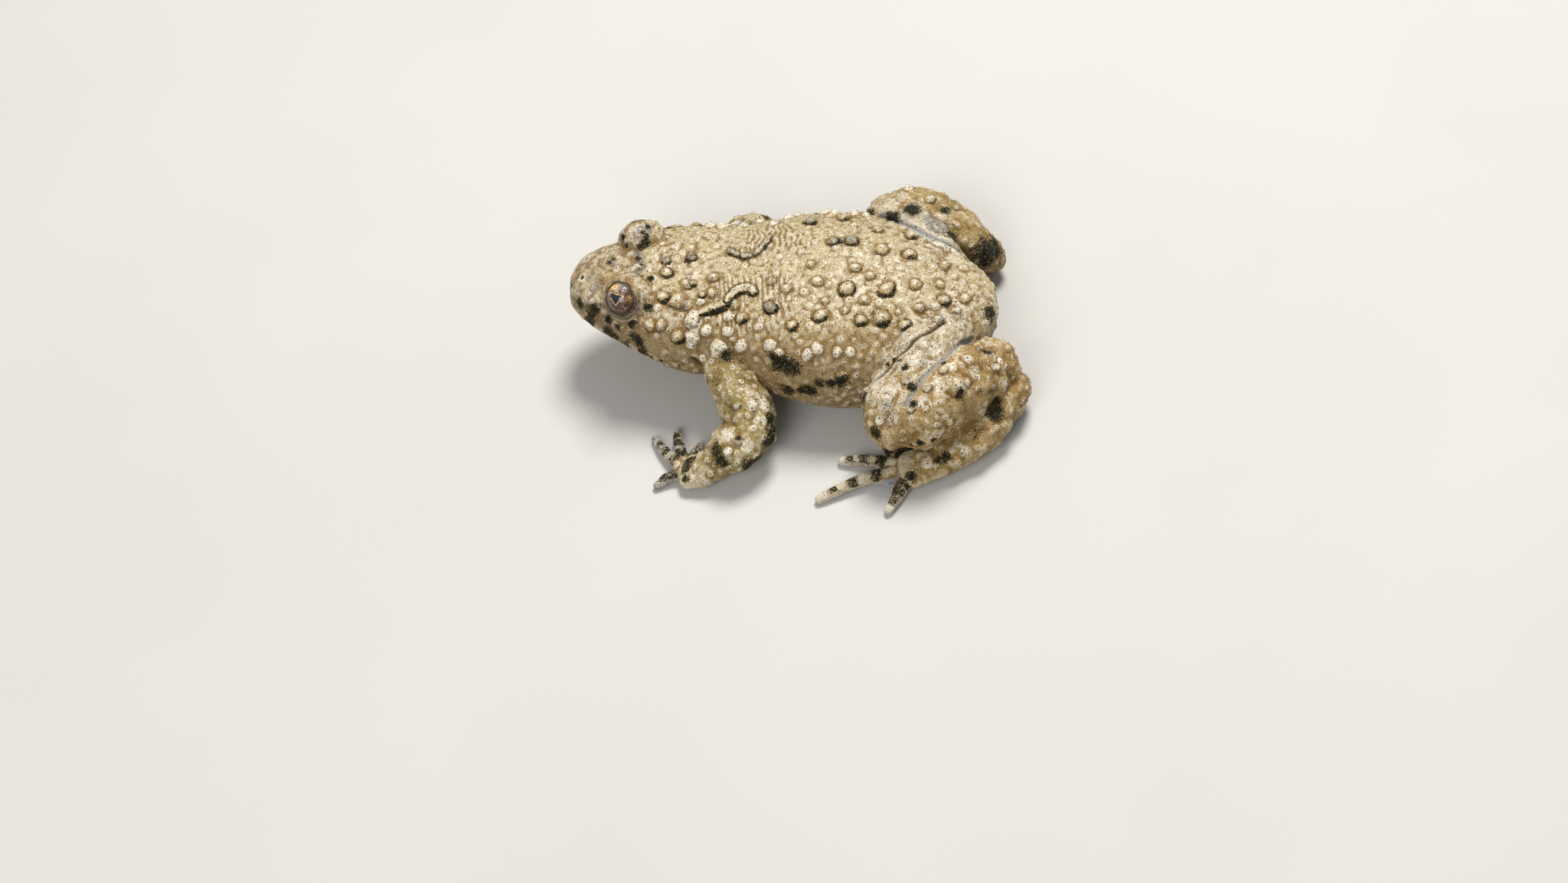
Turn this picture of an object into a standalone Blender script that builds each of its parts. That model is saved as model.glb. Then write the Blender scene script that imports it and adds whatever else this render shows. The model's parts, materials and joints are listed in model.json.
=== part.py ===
"""A fire bellied toad at life size, sitting with its head up, its left side to -Y and its nose to -X.

Trunk, limbs, digits, webs and lids are lofts through a few oval sections. Body, shanks and feet
are each fused into a skin, which is smoothed and given its warts, and the head its mouth, lids and
nostrils. The shanks are cut clear of the body and the feet clear of both, thin cuts part the head,
the arms, the thighs and the feet at their joints, and what rests on the floor is cut flat.
Sizes and places are in millimetres, and MM turns them into Blender's metres.
"""

import math

import bmesh
import bpy
import numpy as np
from mathutils import Matrix, Vector
from mathutils.bvhtree import BVHTree

MM = 0.001

# Driving dimensions
GAP = 0.3
ORIGIN = (1.854, -1.668, 0.0)
WEB_THICKNESS = 0.62
FINGER_RADIUS = 0.78
TOE_RADIUS = 0.88

# Eyes stand out from their place by a part of their radius, in a socket that opens in a slit
EYE_RADIUS = 1.8
EYE_PLACE = (-15.3, 4.2, 11.9)
EYE_AXIS = (-0.3, 0.82, 0.48)
EYE_STANDS_OUT = 0.25
LID_DEPTH = 0.45
EYE_SLIT = (1.72, 1.43)
SLIT_DROP = 0.08

# Folds round the eye: how far out as a share of the slit, spread, rise
LID_FOLDS = ((1.12, 0.14, 0.16), (1.45, 0.13, -0.14))
LOWER_LID_FOLD = (1.75, 0.2, 0.2)
LIDS_REACH = 4.0

# The mouth's line, as x and height of its front and its corner, and the chin drawn in below it
MOUTH_FRONT = (-22.6, 8.35)
MOUTH_CORNER = (-11.9, 6.7)
CHIN_DRAWN_IN = 0.25
CHIN_HEIGHT = 3.0
# The groove of the mouth and the lips: how far over its line, spread, rise
LIPS = ((0.0, 0.2, -0.42), (0.55, 0.4, 0.1), (-0.6, 0.3, 0.06))
# Nostrils: x and lean from straight up, radius, depth, and the rim's spread and rise
NOSTRIL = (-20.9, 12.5)
NOSTRIL_RADIUS = 0.48
NOSTRIL_DEPTH = 0.5
NOSTRIL_RIM = (0.66, 0.25, 0.12)
# Hollows between nostril and eye on each side, and between the eyes: place, radius, depth
HOLLOWS = (((-19.0, -4.9, 10.0), 1.7, 0.3), ((-19.0, 4.9, 10.0), 1.7, 0.3),
           ((-15.4, 0.0, 13.0), 2.0, 0.22))

# Rings along the trunk, a limb and a digit, and points round each ring
TRUNK_GRID = (84, 84)
LIMB_GRID = (16, 24)
DIGIT_GRID = (10, 16)
CURVE_STEPS = 24
# How far round the rounded end of a limb each of its last rings is
END_TURNS = (25.0, 50.0, 75.0, 90.0)

# How finely the skins are fused, in the body's own skin and in what cuts its neighbours clear
VOXEL = 0.25
CUTTER_VOXEL = 0.4
CUTTER_TRIANGLES = 1800
CUTTER_MARGIN = 0.03
# How much the skins are smoothed, and the heights between which thin feet go over to full limbs
SMOOTHING = 1.1
THIN_BELOW = 1.6
FULL_ABOVE = 3.6
LEAST_SMOOTHING = 0.12
# Triangles that each skin keeps before it is cut, the torso's with arms and thighs
TRIANGLES = {"head": 3000, "torso": 7000, "shank": 480, "foot": 1300}

# Sections of the trunk from the snout's tip to the vent:
# x, half width, height of the widest level, height of the top, height of the bottom
TRUNK = (
    (-22.9, 0.0, 9.2, 9.2, 9.2),
    (-22.5, 2.0, 8.9, 10.6, 7.2),
    (-21.3, 3.7, 8.5, 11.7, 6.0),
    (-19.0, 5.3, 8.1, 12.5, 5.0),
    (-16.0, 6.8, 7.6, 12.9, 4.3),
    (-13.0, 8.2, 7.1, 13.0, 3.6),
    (-10.0, 9.0, 6.7, 12.7, 3.0),
    (-7.0, 9.3, 6.4, 12.4, 2.4),
    (-3.0, 10.0, 6.1, 12.5, 1.6),
    (2.0, 11.4, 5.7, 12.8, 0.6),
    (7.0, 12.0, 5.3, 12.6, 0.0),
    (12.0, 10.9, 5.0, 11.7, -0.2),
    (16.0, 8.8, 4.9, 10.6, 0.0),
    (19.5, 6.3, 5.1, 9.3, 0.9),
    (21.6, 3.9, 5.6, 8.1, 2.6),
    (22.5, 1.7, 5.8, 7.1, 4.3),
    (22.8, 0.0, 5.9, 5.9, 5.9),
)
TRUNK_SQUARENESS = 2.3

# Sections of the limbs: x, y, z, half width, half height
LIMBS = {
    "upper_arm_left": (
        (-7.0, -5.0, 7.0, 3.4, 3.2), (-4.6, -10.0, 5.9, 3.1, 2.9),
        (-2.0, -14.2, 4.6, 2.8, 2.6),
    ),
    "forearm_left": (
        (-1.7, -15.2, 3.9, 2.7, 2.5), (-3.6, -17.0, 3.1, 2.7, 2.5),
        (-6.2, -18.4, 1.7, 1.7, 1.5),
    ),
    "upper_arm_right": (
        (-7.4, 5.0, 7.0, 3.4, 3.2), (-6.3, 9.2, 5.9, 3.0, 2.8),
        (-5.0, 11.6, 4.6, 2.7, 2.5),
    ),
    "forearm_right": (
        (-5.0, 12.2, 3.9, 2.6, 2.4), (-6.7, 12.5, 3.1, 2.5, 2.3),
        (-9.0, 12.0, 1.7, 1.7, 1.5),
    ),
    "thigh_left": (
        (17.2, -3.4, 6.2, 3.8, 3.6), (15.4, -8.5, 6.8, 4.0, 3.8),
        (13.4, -13.2, 6.2, 3.6, 3.6),
    ),
    "shank_left": (
        (13.3, -14.6, 5.8, 3.3, 3.2), (16.2, -13.4, 6.0, 3.9, 4.1),
        (19.8, -10.1, 5.9, 3.8, 4.1), (22.6, -7.3, 5.2, 3.0, 3.3),
    ),
    "tarsus_left": (
        (24.4, -8.2, 3.0, 2.3, 2.3), (22.2, -12.6, 2.2, 2.3, 2.0),
        (18.7, -16.2, 1.8, 2.0, 1.6),
    ),
    "thigh_right": (
        (16.8, 3.4, 6.0, 3.6, 3.4), (13.4, 8.4, 6.2, 3.9, 3.7),
        (10.4, 12.0, 5.6, 3.4, 3.4),
    ),
    "shank_right": (
        (10.2, 13.0, 5.0, 3.2, 3.5), (13.2, 13.0, 5.2, 3.7, 4.0),
        (16.6, 11.6, 4.7, 3.5, 3.6), (19.4, 10.2, 3.8, 2.5, 2.6),
    ),
    "tarsus_right": (
        (20.6, 10.8, 2.4, 2.1, 2.0), (17.8, 13.4, 2.1, 2.1, 1.9),
        (14.7, 15.4, 1.8, 1.9, 1.6),
    ),
}

# Soles and palms: x, y, z, half width, half height
SOLES = {
    "hand_left": ((-6.4, -18.6, 1.4, 1.9, 1.3), (-8.4, -18.6, 1.0, 2.1, 1.0)),
    "hand_right": ((-9.1, 12.0, 1.4, 1.7, 1.3), (-11.2, 11.2, 1.0, 2.0, 1.0)),
    "foot_left": ((18.0, -16.4, 1.5, 1.9, 1.4), (14.6, -17.7, 1.1, 2.3, 1.05)),
    "foot_right": ((14.6, 15.5, 1.5, 1.8, 1.4), (11.2, 15.8, 1.1, 2.3, 1.05)),
}

# Fingers and toes from the innermost out: root x and y, middle x and y, tip x and y
DIGITS = {
    "hand_left": (
        (-8.2, -17.0, -8.0, -15.8, -7.8, -14.7), (-9.2, -17.2, -10.2, -15.2, -11.0, -13.2),
        (-9.4, -17.6, -10.9, -15.4, -12.0, -13.2), (-9.2, -18.8, -10.4, -19.1, -11.6, -20.0),
    ),
    "hand_right": (
        (-10.8, 10.2, -10.6, 9.1, -10.4, 8.2), (-11.8, 10.4, -12.7, 9.4, -13.5, 8.5),
        (-12.4, 10.8, -13.9, 10.3, -15.3, 9.8), (-12.2, 11.8, -13.3, 12.3, -14.4, 12.6),
    ),
    "foot_left": (
        (15.2, -16.4, 14.3, -15.0, 13.6, -13.8), (14.2, -16.4, 12.6, -15.2, 11.4, -14.0),
        (13.6, -16.8, 10.6, -16.3, 7.5, -16.2), (13.2, -17.7, 9.4, -19.1, 5.7, -21.2),
        (14.6, -18.8, 13.8, -20.6, 13.0, -22.3),
    ),
    "foot_right": (
        (11.9, 14.6, 11.1, 13.6, 10.4, 12.8), (10.8, 14.4, 9.4, 13.5, 8.0, 12.8),
        (10.0, 15.0, 7.4, 14.4, 4.6, 14.0), (9.8, 16.2, 6.0, 16.8, 2.0, 17.0),
        (10.6, 17.2, 8.9, 18.2, 7.2, 19.0),
    ),
}
# A digit's axis lies at a share of its radius over the floor, with its middle and root raised,
# and its tip is as wide and as high as these shares of its radius
DIGIT_LEVEL = 0.86
DIGIT_RAISED = (0.25, 0.2)
TIP_LEVEL = 0.8
TIP_SHARES = (0.74, 0.8)
# How far out the web reaches between each pair of toes, as a share of the toes
WEBS = (0.5, 0.5, 0.5, 0.55)
WEB_GRID = (8, 7)
WEB_HOLLOW = 0.35

# Thin cuts: place, direction across the cut, half width along the floor, half height
CUTS = {
    "neck": ((-9.8, 0.0, 8.2), (1.0, 0.0, -0.2), 10.4, 6.6),
    "shoulder_left": ((-5.0, -10.2, 6.2), (-0.2, -1.0, 0.0), 6.0, 6.0),
    "shoulder_right": ((-6.0, 9.9, 6.2), (-0.2, 1.0, 0.0), 6.0, 6.0),
    "elbow_left": ((-1.9, -14.7, 4.2), (-0.11, -0.93, -0.34), 4.6, 4.6),
    "elbow_right": ((-5.0, 12.0, 4.3), (-0.34, 0.7, -0.63), 5.4, 5.0),
    "wrist_left": ((-5.9, -18.4, 1.8), (-0.85, -0.35, -0.3), 2.8, 2.6),
    "wrist_right": ((-8.7, 12.1, 1.8), (-0.9, 0.0, -0.3), 2.6, 2.4),
    "hip_left": ((14.0, -10.1, 6.5), (0.4, -0.92, 0.0), 7.5, 7.5),
    "hip_right": ((11.5, 11.3, 6.5), (0.29, 0.96, 0.0), 7.5, 7.5),
    "ankle_left": ((18.6, -16.1, 1.8), (-0.75, -0.65, 0.0), 3.1, 2.8),
    "ankle_right": ((14.8, 15.4, 1.8), (-0.86, 0.5, 0.0), 3.0, 2.8),
}
# A point at each piece's skin, by which the piece is told from the others
MARKS = {
    "torso": (5.0, 0.0, 12.6), "head": (-18.0, 0.0, 12.6),
    "upper_arm_left": (-2.6, -12.4, 8.0), "upper_arm_right": (-5.6, 11.0, 7.6),
    "forearm_left": (-3.0, -17.6, 5.2), "forearm_right": (-6.4, 13.8, 4.6),
    "hand_left": (-9.0, -18.6, 1.6), "hand_right": (-11.6, 11.2, 1.6),
    "thigh_left": (13.6, -13.0, 9.8), "thigh_right": (10.4, 13.6, 8.6),
    "shank_left": (18.0, -13.0, 9.5), "shank_right": (15.0, 13.6, 8.0),
    "tarsus_left": (22.4, -13.6, 3.5), "tarsus_right": (18.0, 14.4, 3.5),
    "foot_left": (13.6, -18.6, 1.8), "foot_right": (10.0, 17.0, 1.8),
}

# Main warts of trunk and head: x, lean from straight up to the right side, radius
WARTS = (
    (-6.3, 29, 0.55), (-5.2, 20, 0.55), (-4.0, 11, 0.5), (-2.7, 16, 0.55), (-1.7, 24, 0.55),
    (-1.2, 38, 0.5), (-5.8, -42, 0.75), (-4.6, -36, 0.6), (-3.6, -27, 0.65), (-2.5, -25, 0.7),
    (0.0, -42, 0.85), (-0.2, -19, 0.65), (1.5, -26, 0.65), (4.7, -19, 0.75), (7.8, -25, 1.2),
    (5.6, 28, 0.75), (7.5, 31, 0.85), (-6.4, -29, 0.7), (-6.5, -14, 0.75), (2.5, 51, 0.85),
    (6.1, 57, 0.85), (-8.9, -40, 0.8), (11.8, -22, 1.1), (13.5, 30, 0.85), (10.7, 28, 0.85),
    (9.8, 50, 0.65), (8.3, -1, 0.85), (14.5, -11, 0.85), (17.2, 33, 0.85), (17.6, -29, 0.85),
    (19.6, -22, 0.85), (15.2, -40, 0.75), (9.5, -49, 0.85), (11.5, -49, 1.0), (-8.0, -52, 1.2),
    (-6.7, -58, 0.85), (-8.1, -62, 0.95), (-5.4, -69, 1.1), (-4.4, -59, 0.85), (-2.9, -66, 0.85),
    (-2.9, -49, 0.85), (0.2, -65, 0.85), (1.2, -69, 0.85), (4.3, -67, 0.85), (5.2, -65, 0.85),
    (5.4, -46, 0.85), (2.5, -53, 0.75), (7.3, -67, 0.75), (7.8, -78, 0.75), (-15.2, 8, 0.5),
    (-14.7, -5, 0.55), (-11.8, 2, 0.6), (-11.5, -11, 0.8), (-9.1, -22, 0.8), (-9.2, 8, 0.7),
    (-11.5, -34, 0.8), (-9.9, -36, 1.2), (-12.6, -56, 0.8), (-11.6, -55, 0.8), (-9.9, -62, 0.9),
)
WART_LEVEL = 6.0
WART_HEIGHT = 0.42
WART_FULLNESS = 1.3
WART_SEED = 7
# Smaller warts between them: how many on each skin, and their least and greatest radius
SMALL_WARTS = {"body": 170, "shank": 14, "foot": 6}
SMALL_RADII = (0.5, 0.8)
WART_SPACING = 1.2
WART_FLOOR = 3.0
WART_CLEARANCE = 1.0
WARTLESS_SLOPE = -0.2
BARE_ROUND_EYE = 3.3
BARE_SNOUT = -17.5

COLOURS = {
    "back": (0.46, 0.42, 0.31), "limb": (0.41, 0.36, 0.24), "toes": (0.48, 0.44, 0.28),
    "eye": (0.32, 0.2, 0.09),
}
SKINS = {"torso": "back", "head": "back", "hand": "toes", "foot": "toes", "eye": "eye"}


def spline(rows, count):
    """Rows spread evenly along the smooth curve through these rows."""
    rows = np.asarray(rows, float)
    held = np.vstack([2 * rows[0] - rows[1], rows, 2 * rows[-1] - rows[-2]])
    share = np.linspace(0, 1, CURVE_STEPS, endpoint=False)[:, None]
    fine = [
        0.5 * (2 * b + (c - a) * share + (2 * a - 5 * b + 4 * c - d) * share**2
               + (3 * b - a - 3 * c + d) * share**3)
        for a, b, c, d in zip(held, held[1:], held[2:], held[3:])
    ]
    fine = np.vstack(fine + [rows[-1:]])
    run = np.r_[0, np.cumsum(np.linalg.norm(np.diff(fine, axis=0), axis=1))]
    at = np.linspace(0, run[-1], count)
    return np.column_stack([np.interp(at, run, column) for column in fine.T])


def unit(vectors):
    return vectors / np.maximum(np.linalg.norm(vectors, axis=-1, keepdims=True), 1e-9)


def trunk_sections(count):
    """Centre, side, up, half width, reach up and reach down of each section of the trunk."""
    x, wide, level, top, bottom = spline(TRUNK, count).T
    centre = np.column_stack([x, 0 * x, level])
    side = np.tile([0.0, 1.0, 0.0], (count, 1))
    up = np.tile([0.0, 0.0, 1.0], (count, 1))
    wide, top, bottom = (np.maximum(v, 0) for v in (wide, top - level, level - bottom))
    return centre, side, up, wide, top, bottom


def limb_sections(rows, count, grow=0.0):
    """The same for a limb, with a rounded end at each of its two ends."""
    rows = spline(rows, count)
    centre, wide, high = rows[:, :3], rows[:, 3] + grow, rows[:, 4] + grow
    along = unit(np.gradient(centre, axis=0))
    turns = np.radians(END_TURNS)
    for end, way in ((0, -1), (-1, 1)):
        reach = min(wide[end], high[end])
        out = centre[end] + way * along[end] * reach * np.sin(turns)[:, None]
        lean = np.repeat(along[end][None], len(turns), 0)
        w, h = wide[end] * np.cos(turns), high[end] * np.cos(turns)
        w[-1] = h[-1] = 0.0
        if way < 0:
            centre, along = np.vstack([out[::-1], centre]), np.vstack([lean, along])
            wide, high = np.r_[w[::-1], wide], np.r_[h[::-1], high]
        else:
            centre, along = np.vstack([centre, out]), np.vstack([along, lean])
            wide, high = np.r_[wide, w], np.r_[high, h]
    side = unit(np.cross(along, [0.0, 0.0, 1.0]))
    up = np.cross(side, along)
    return centre, side, up, wide, high, high


def ring_points(sections, around, squareness=2.0):
    """Points of each section, from the top round by its side, as sections x around x 3."""
    centre, side, up, wide, top, bottom = sections
    turn = np.linspace(0, 2 * math.pi, around, endpoint=False)
    sine, cosine = np.sin(turn), np.cos(turn)
    power = 2 / squareness
    across = np.sign(sine) * np.abs(sine) ** power
    rise = np.sign(cosine) * np.abs(cosine) ** power
    reach = np.where(rise[None] > 0, top[:, None], bottom[:, None]) * rise[None]
    return (centre[:, None] + side[:, None] * (wide[:, None] * across)[..., None]
            + up[:, None] * reach[..., None])


def tube_points(rows, grid, grow=0.0):
    """Points of a limb or digit, as sections x around x 3."""
    return ring_points(limb_sections(rows, grid[0], grow), grid[1])


def object_of(name, work):
    """A new object with the faces of this bmesh, which is freed."""
    mesh = bpy.data.meshes.new(name)
    work.to_mesh(mesh)
    work.free()
    made = bpy.data.objects.new(name, mesh)
    bpy.context.scene.collection.objects.link(made)
    return made


def object_from(name, points, faces):
    """A new object with these points and faces, which are all turned outward."""
    mesh = bpy.data.meshes.new(name)
    mesh.from_pydata(np.asarray(points) * MM, [], faces)
    work = bmesh.new()
    work.from_mesh(mesh)
    bpy.data.meshes.remove(mesh)
    bmesh.ops.recalc_face_normals(work, faces=work.faces)
    return object_of(name, work)


def apply_modifiers(made):
    """Replaces the object's mesh by what its modifiers make of it."""
    graph = bpy.context.evaluated_depsgraph_get()
    mesh = bpy.data.meshes.new_from_object(made.evaluated_get(graph))
    made.modifiers.clear()
    old = made.data
    made.data = mesh
    bpy.data.meshes.remove(old)


def vertex_array(made):
    points = np.empty(len(made.data.vertices) * 3)
    made.data.vertices.foreach_get("co", points)
    return points.reshape(-1, 3) / MM


def set_vertices(made, points):
    made.data.vertices.foreach_set("co", (points * MM).ravel())
    made.data.update()


def loft(name, rings):
    """A closed object through these rings, whose first and last are single points."""
    count, around = rings.shape[:2]
    points = np.vstack([rings[0, :1], rings[1:-1].reshape(-1, 3), rings[-1, :1]])
    last = len(points) - 1
    faces = []
    for k in range(around):
        j = (k + 1) % around
        faces.append((0, 1 + j, 1 + k))
        for r in range(count - 3):
            a = 1 + r * around
            faces.append((a + k, a + j, a + around + j, a + around + k))
        faces.append((last, last - around + k, last - around + j))
    return object_from(name, points, faces)


def remove(*objects):
    for gone in objects:
        bpy.data.objects.remove(gone)


def cut_away(made, others):
    """Cuts the other objects from this one and removes them.

    The exact solver leaves faces here whose triangles share edges, so this is the manifold one.
    """
    group = bpy.data.collections.new("operands")
    for other in others:
        group.objects.link(other)
    modifier = made.modifiers.new("cut", "BOOLEAN")
    modifier.operation = "DIFFERENCE"
    modifier.operand_type = "COLLECTION"
    modifier.collection = group
    modifier.solver = "MANIFOLD"
    apply_modifiers(made)
    remove(*others)
    bpy.data.collections.remove(group)


def islands(work):
    """The separate closed surfaces of a bmesh, as lists of faces, the largest first."""
    left, found = set(work.faces), []
    while left:
        island, todo = [], [left.pop()]
        while todo:
            face = todo.pop()
            island.append(face)
            for edge in face.edges:
                for other in edge.link_faces:
                    if other in left:
                        left.discard(other)
                        todo.append(other)
        found.append(island)
    return sorted(found, key=lambda faces: -sum(face.calc_area() for face in faces))


def keep_largest(made):
    work = bmesh.new()
    work.from_mesh(made.data)
    loose = [face for island in islands(work)[1:] for face in island]
    bmesh.ops.delete(work, geom=loose, context="FACES")
    work.to_mesh(made.data)
    work.free()


def cut_flat(made):
    """Cuts off all that lies below the floor, and closes the piece there."""
    work = bmesh.new()
    work.from_mesh(made.data)
    whole = work.verts[:] + work.edges[:] + work.faces[:]
    bmesh.ops.bisect_plane(
        work, geom=whole, dist=1e-8, plane_co=(0, 0, 0), plane_no=(0, 0, -1), clear_outer=True,
    )
    rim = [edge for edge in work.edges if edge.is_boundary]
    if rim:
        bmesh.ops.holes_fill(work, edges=rim, sides=0)
    bmesh.ops.triangulate(work, faces=[face for face in work.faces if len(face.verts) > 4])
    work.to_mesh(made.data)
    work.free()


def ball(name, place, radii, segments, rings, frame):
    """An ellipsoid with its poles along the frame's Z."""
    work = bmesh.new()
    bmesh.ops.create_uvsphere(work, u_segments=segments, v_segments=rings, radius=1.0)
    size = Matrix.Diagonal(Vector(radii) * MM)
    bmesh.ops.transform(work, matrix=(frame @ size).to_4x4(), verts=work.verts)
    bmesh.ops.translate(work, vec=Vector(place) * MM, verts=work.verts)
    return object_of(name, work)


def colour(made, kind):
    look = bpy.data.materials.new(f"toad_{made.name}")
    look.use_nodes = True
    shader = look.node_tree.nodes["Principled BSDF"]
    shader.inputs["Base Color"].default_value = (*COLOURS[kind], 1.0)
    shader.inputs["Roughness"].default_value = 0.15 if kind == "eye" else 0.5
    made.data.materials.clear()
    made.data.materials.append(look)


def facing(direction, along=(0.0, 0.0, 1.0)):
    """A matrix whose Z is this direction, and whose Y leans as far to along as it can."""
    forward = Vector(direction).normalized()
    upward = Vector(along)
    upward = (upward - forward * upward.dot(forward)).normalized()
    return Matrix((upward.cross(forward), upward, forward)).transposed()


def eye_parts(side):
    """Where the eye of this side is, its frame, and the way that it looks."""
    place = np.array([EYE_PLACE[0], side * EYE_PLACE[1], EYE_PLACE[2]])
    frame = facing((EYE_AXIS[0], side * EYE_AXIS[1], EYE_AXIS[2]))
    return place, frame, np.array(frame.col[2])


def smooth_step(value, low, high):
    """0 below low and 1 above high, or the other way round where high is the lower."""
    share = np.clip((value - low) / (high - low), 0, 1)
    return share * share * (3 - 2 * share)


def bump(distance, middle, spread):
    return np.exp(-(((distance - middle) / spread) ** 2))


def place_on(tree, x, lean):
    """The point of the skin at this x, seen along the trunk at this lean from straight up."""
    out = Vector((0.0, math.sin(math.radians(lean)), math.cos(math.radians(lean))))
    axis = Vector((x, 0.0, WART_LEVEL)) * MM
    return np.array(tree.ray_cast(axis + out, -out)[0]) / MM


def mouth_rise(points):
    """The groove of the mouth, the two lips along it, and the chin drawn in below them."""
    x, z = points[:, 0], points[:, 2]
    front, corner = MOUTH_FRONT, MOUTH_CORNER
    slope = (corner[1] - front[1]) / (corner[0] - front[0])
    over = z - front[1] - slope * (x - front[0])
    rise = sum(height * bump(over, middle, spread) for middle, spread, height in LIPS)
    chin = smooth_step(over, 0.1, -0.3) * smooth_step(over, -CHIN_HEIGHT, -1.0)
    rise -= CHIN_DRAWN_IN * chin
    return rise * smooth_step(x, corner[0] + 0.4, corner[0] - 0.8)


def lid_rise(points, side):
    """The rim of the lids round the slit, the groove outside it, and the fold below and behind."""
    place, frame, look = eye_parts(side)
    local = (points - place) @ np.array(frame)
    across, along, depth = local.T
    round_slit = np.hypot(across / EYE_SLIT[0], along / EYE_SLIT[1])
    near = smooth_step(depth, 0.3, 1.0) * (np.linalg.norm(local, axis=1) < LIDS_REACH)
    rise = sum(height * bump(round_slit, middle, spread) for middle, spread, height in LID_FOLDS)
    middle, spread, height = LOWER_LID_FOLD
    below = smooth_step(along, 0.6, -0.6)
    return near * (rise + below * height * bump(round_slit, middle, spread))


def head_rise(points, tree):
    """How far the head's mouth, lids, nostrils and hollows move each point of its skin out."""
    rise = mouth_rise(points)
    hollows = list(HOLLOWS)
    middle, spread, height = NOSTRIL_RIM
    for side in (-1, 1):
        rise += lid_rise(points, side)
        place = place_on(tree, NOSTRIL[0], side * NOSTRIL[1])
        rise += height * bump(np.linalg.norm(points - place, axis=1), middle, spread)
        hollows.append((place, NOSTRIL_RADIUS, NOSTRIL_DEPTH))
    for place, radius, depth in hollows:
        rise -= depth * smooth_step(np.linalg.norm(points - place, axis=1), radius, 0.0)
    return rise


def more_warts(points, bare, warts, count, crowd):
    """Sets small warts at random between those there are, clear of bare skin, eyes and crowd."""
    draw = np.random.default_rng(WART_SEED)
    eyes = np.array([eye_parts(side)[0] for side in (-1, 1)])
    warts = list(warts)
    count += len(warts)
    for k in draw.permutation(len(points)):
        place = points[k]
        near_eye = np.linalg.norm(eyes - place, axis=1).min() < BARE_ROUND_EYE
        crowded = np.linalg.norm(crowd - place, axis=1).min() < WART_CLEARANCE
        if bare[k] or near_eye or crowded:
            continue
        radius = draw.uniform(*SMALL_RADII)
        apart = [np.linalg.norm(other[:3] - place) / (other[3] + radius) for other in warts]
        if min(apart, default=WART_SPACING) >= WART_SPACING:
            warts.append(np.array([*place, radius]))
        if len(warts) == count:
            break
    return warts


def cloud(names):
    """Points all over the plain limbs of these names."""
    return np.vstack([tube_points(LIMBS[name], LIMB_GRID).reshape(-1, 3) for name in names])


def shape_skin(made, kind, crowd):
    """Raises the warts of a skin, and on the body forms the face, with every move along normals."""
    points = vertex_array(made)
    normals = np.empty(points.size)
    made.data.vertices.foreach_get("normal", normals)
    normals = normals.reshape(-1, 3)
    rise, warts = np.zeros(len(points)), []
    if kind == "body":
        tree = BVHTree.FromObject(made, bpy.context.evaluated_depsgraph_get())
        rise = head_rise(points, tree)
        warts = [np.array([*place_on(tree, x, lean), radius]) for x, lean, radius in WARTS]
    bare = (rise < 0) | (normals[:, 2] < WARTLESS_SLOPE)
    bare |= (points[:, 2] < WART_FLOOR) | (points[:, 0] < BARE_SNOUT)
    for wart in more_warts(points, bare, warts, SMALL_WARTS[kind], crowd):
        away = np.linalg.norm(points - wart[:3], axis=1) / wart[3]
        rise += WART_HEIGHT * wart[3] * np.clip(1 - away**2, 0, 1) ** WART_FULLNESS
    set_vertices(made, points + normals * rise[:, None])


def digit_rows(digit, radius):
    """A finger or toe lies on the floor, and its middle is raised a little."""
    x0, y0, x1, y1, x2, y2 = digit
    low = radius * DIGIT_LEVEL
    root, middle = DIGIT_RAISED
    return (
        (x0, y0, low + root, radius, radius), (x1, y1, low + middle, radius, radius),
        (x2, y2, low * TIP_LEVEL, radius * TIP_SHARES[0], radius * TIP_SHARES[1]),
    )


def web_sheet(name, first, second, share):
    """A thin sheet between two toes, out to a share of their length, with a hollow edge."""
    steps, across = WEB_GRID
    a, b = (spline(rows, round((steps - 1) / share) + 1)[:steps, :3] for rows in (first, second))
    blend = np.linspace(0, 1, across)[None, :, None]
    sheet = a[:, None] * (1 - blend) + b[:, None] * blend
    hollow = WEB_HOLLOW * np.sin(np.linspace(0, math.pi, across))[None, :, None]
    shrink = np.linspace(0, 1, steps)[:, None, None] * hollow
    sheet = sheet * (1 - shrink) + sheet[:1] * shrink
    work = bmesh.new()
    bmesh.ops.create_grid(work, x_segments=across - 1, y_segments=steps - 1, size=1.0)
    made = object_of(name, work)
    set_vertices(made, sheet.reshape(-1, 3))
    modifier = made.modifiers.new("thick", "SOLIDIFY")
    modifier.thickness = WEB_THICKNESS * MM
    modifier.offset = 0.0
    apply_modifiers(made)
    return made


def extremity_lofts(name, grow=0.0):
    """A palm or sole with its digits, and on the foot the webs between them."""
    foot = name.startswith("foot")
    radius = TOE_RADIUS if foot else FINGER_RADIUS
    rows = [digit_rows(digit, radius + grow) for digit in DIGITS[name]]
    lofts = [loft(name, tube_points(SOLES[name], LIMB_GRID, grow))]
    lofts += [loft(name, tube_points(row, DIGIT_GRID)) for row in rows]
    if foot:
        lofts += [web_sheet(name, a, b, share) for a, b, share in zip(rows, rows[1:], WEBS)]
    return lofts


def body_lofts(grow=0.0):
    """Trunk, lids, thighs and arms, still apart."""
    trunk = trunk_sections(TRUNK_GRID[0])
    trunk = trunk[:3] + tuple(reach + grow * (trunk[3] > 0) for reach in trunk[3:])
    lofts = [loft("trunk", ring_points(trunk, TRUNK_GRID[1], TRUNK_SQUARENESS))]
    for name, rows in LIMBS.items():
        if name.split("_")[0] in ("upper", "forearm", "thigh"):
            lofts.append(loft(name, tube_points(rows, LIMB_GRID, grow)))
    for side in (-1, 1):
        place, frame, look = eye_parts(side)
        size = EYE_RADIUS + GAP + LID_DEPTH + grow
        lofts.append(ball("lids", place, [size] * 3, 24, 16, frame))
    return lofts


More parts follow.
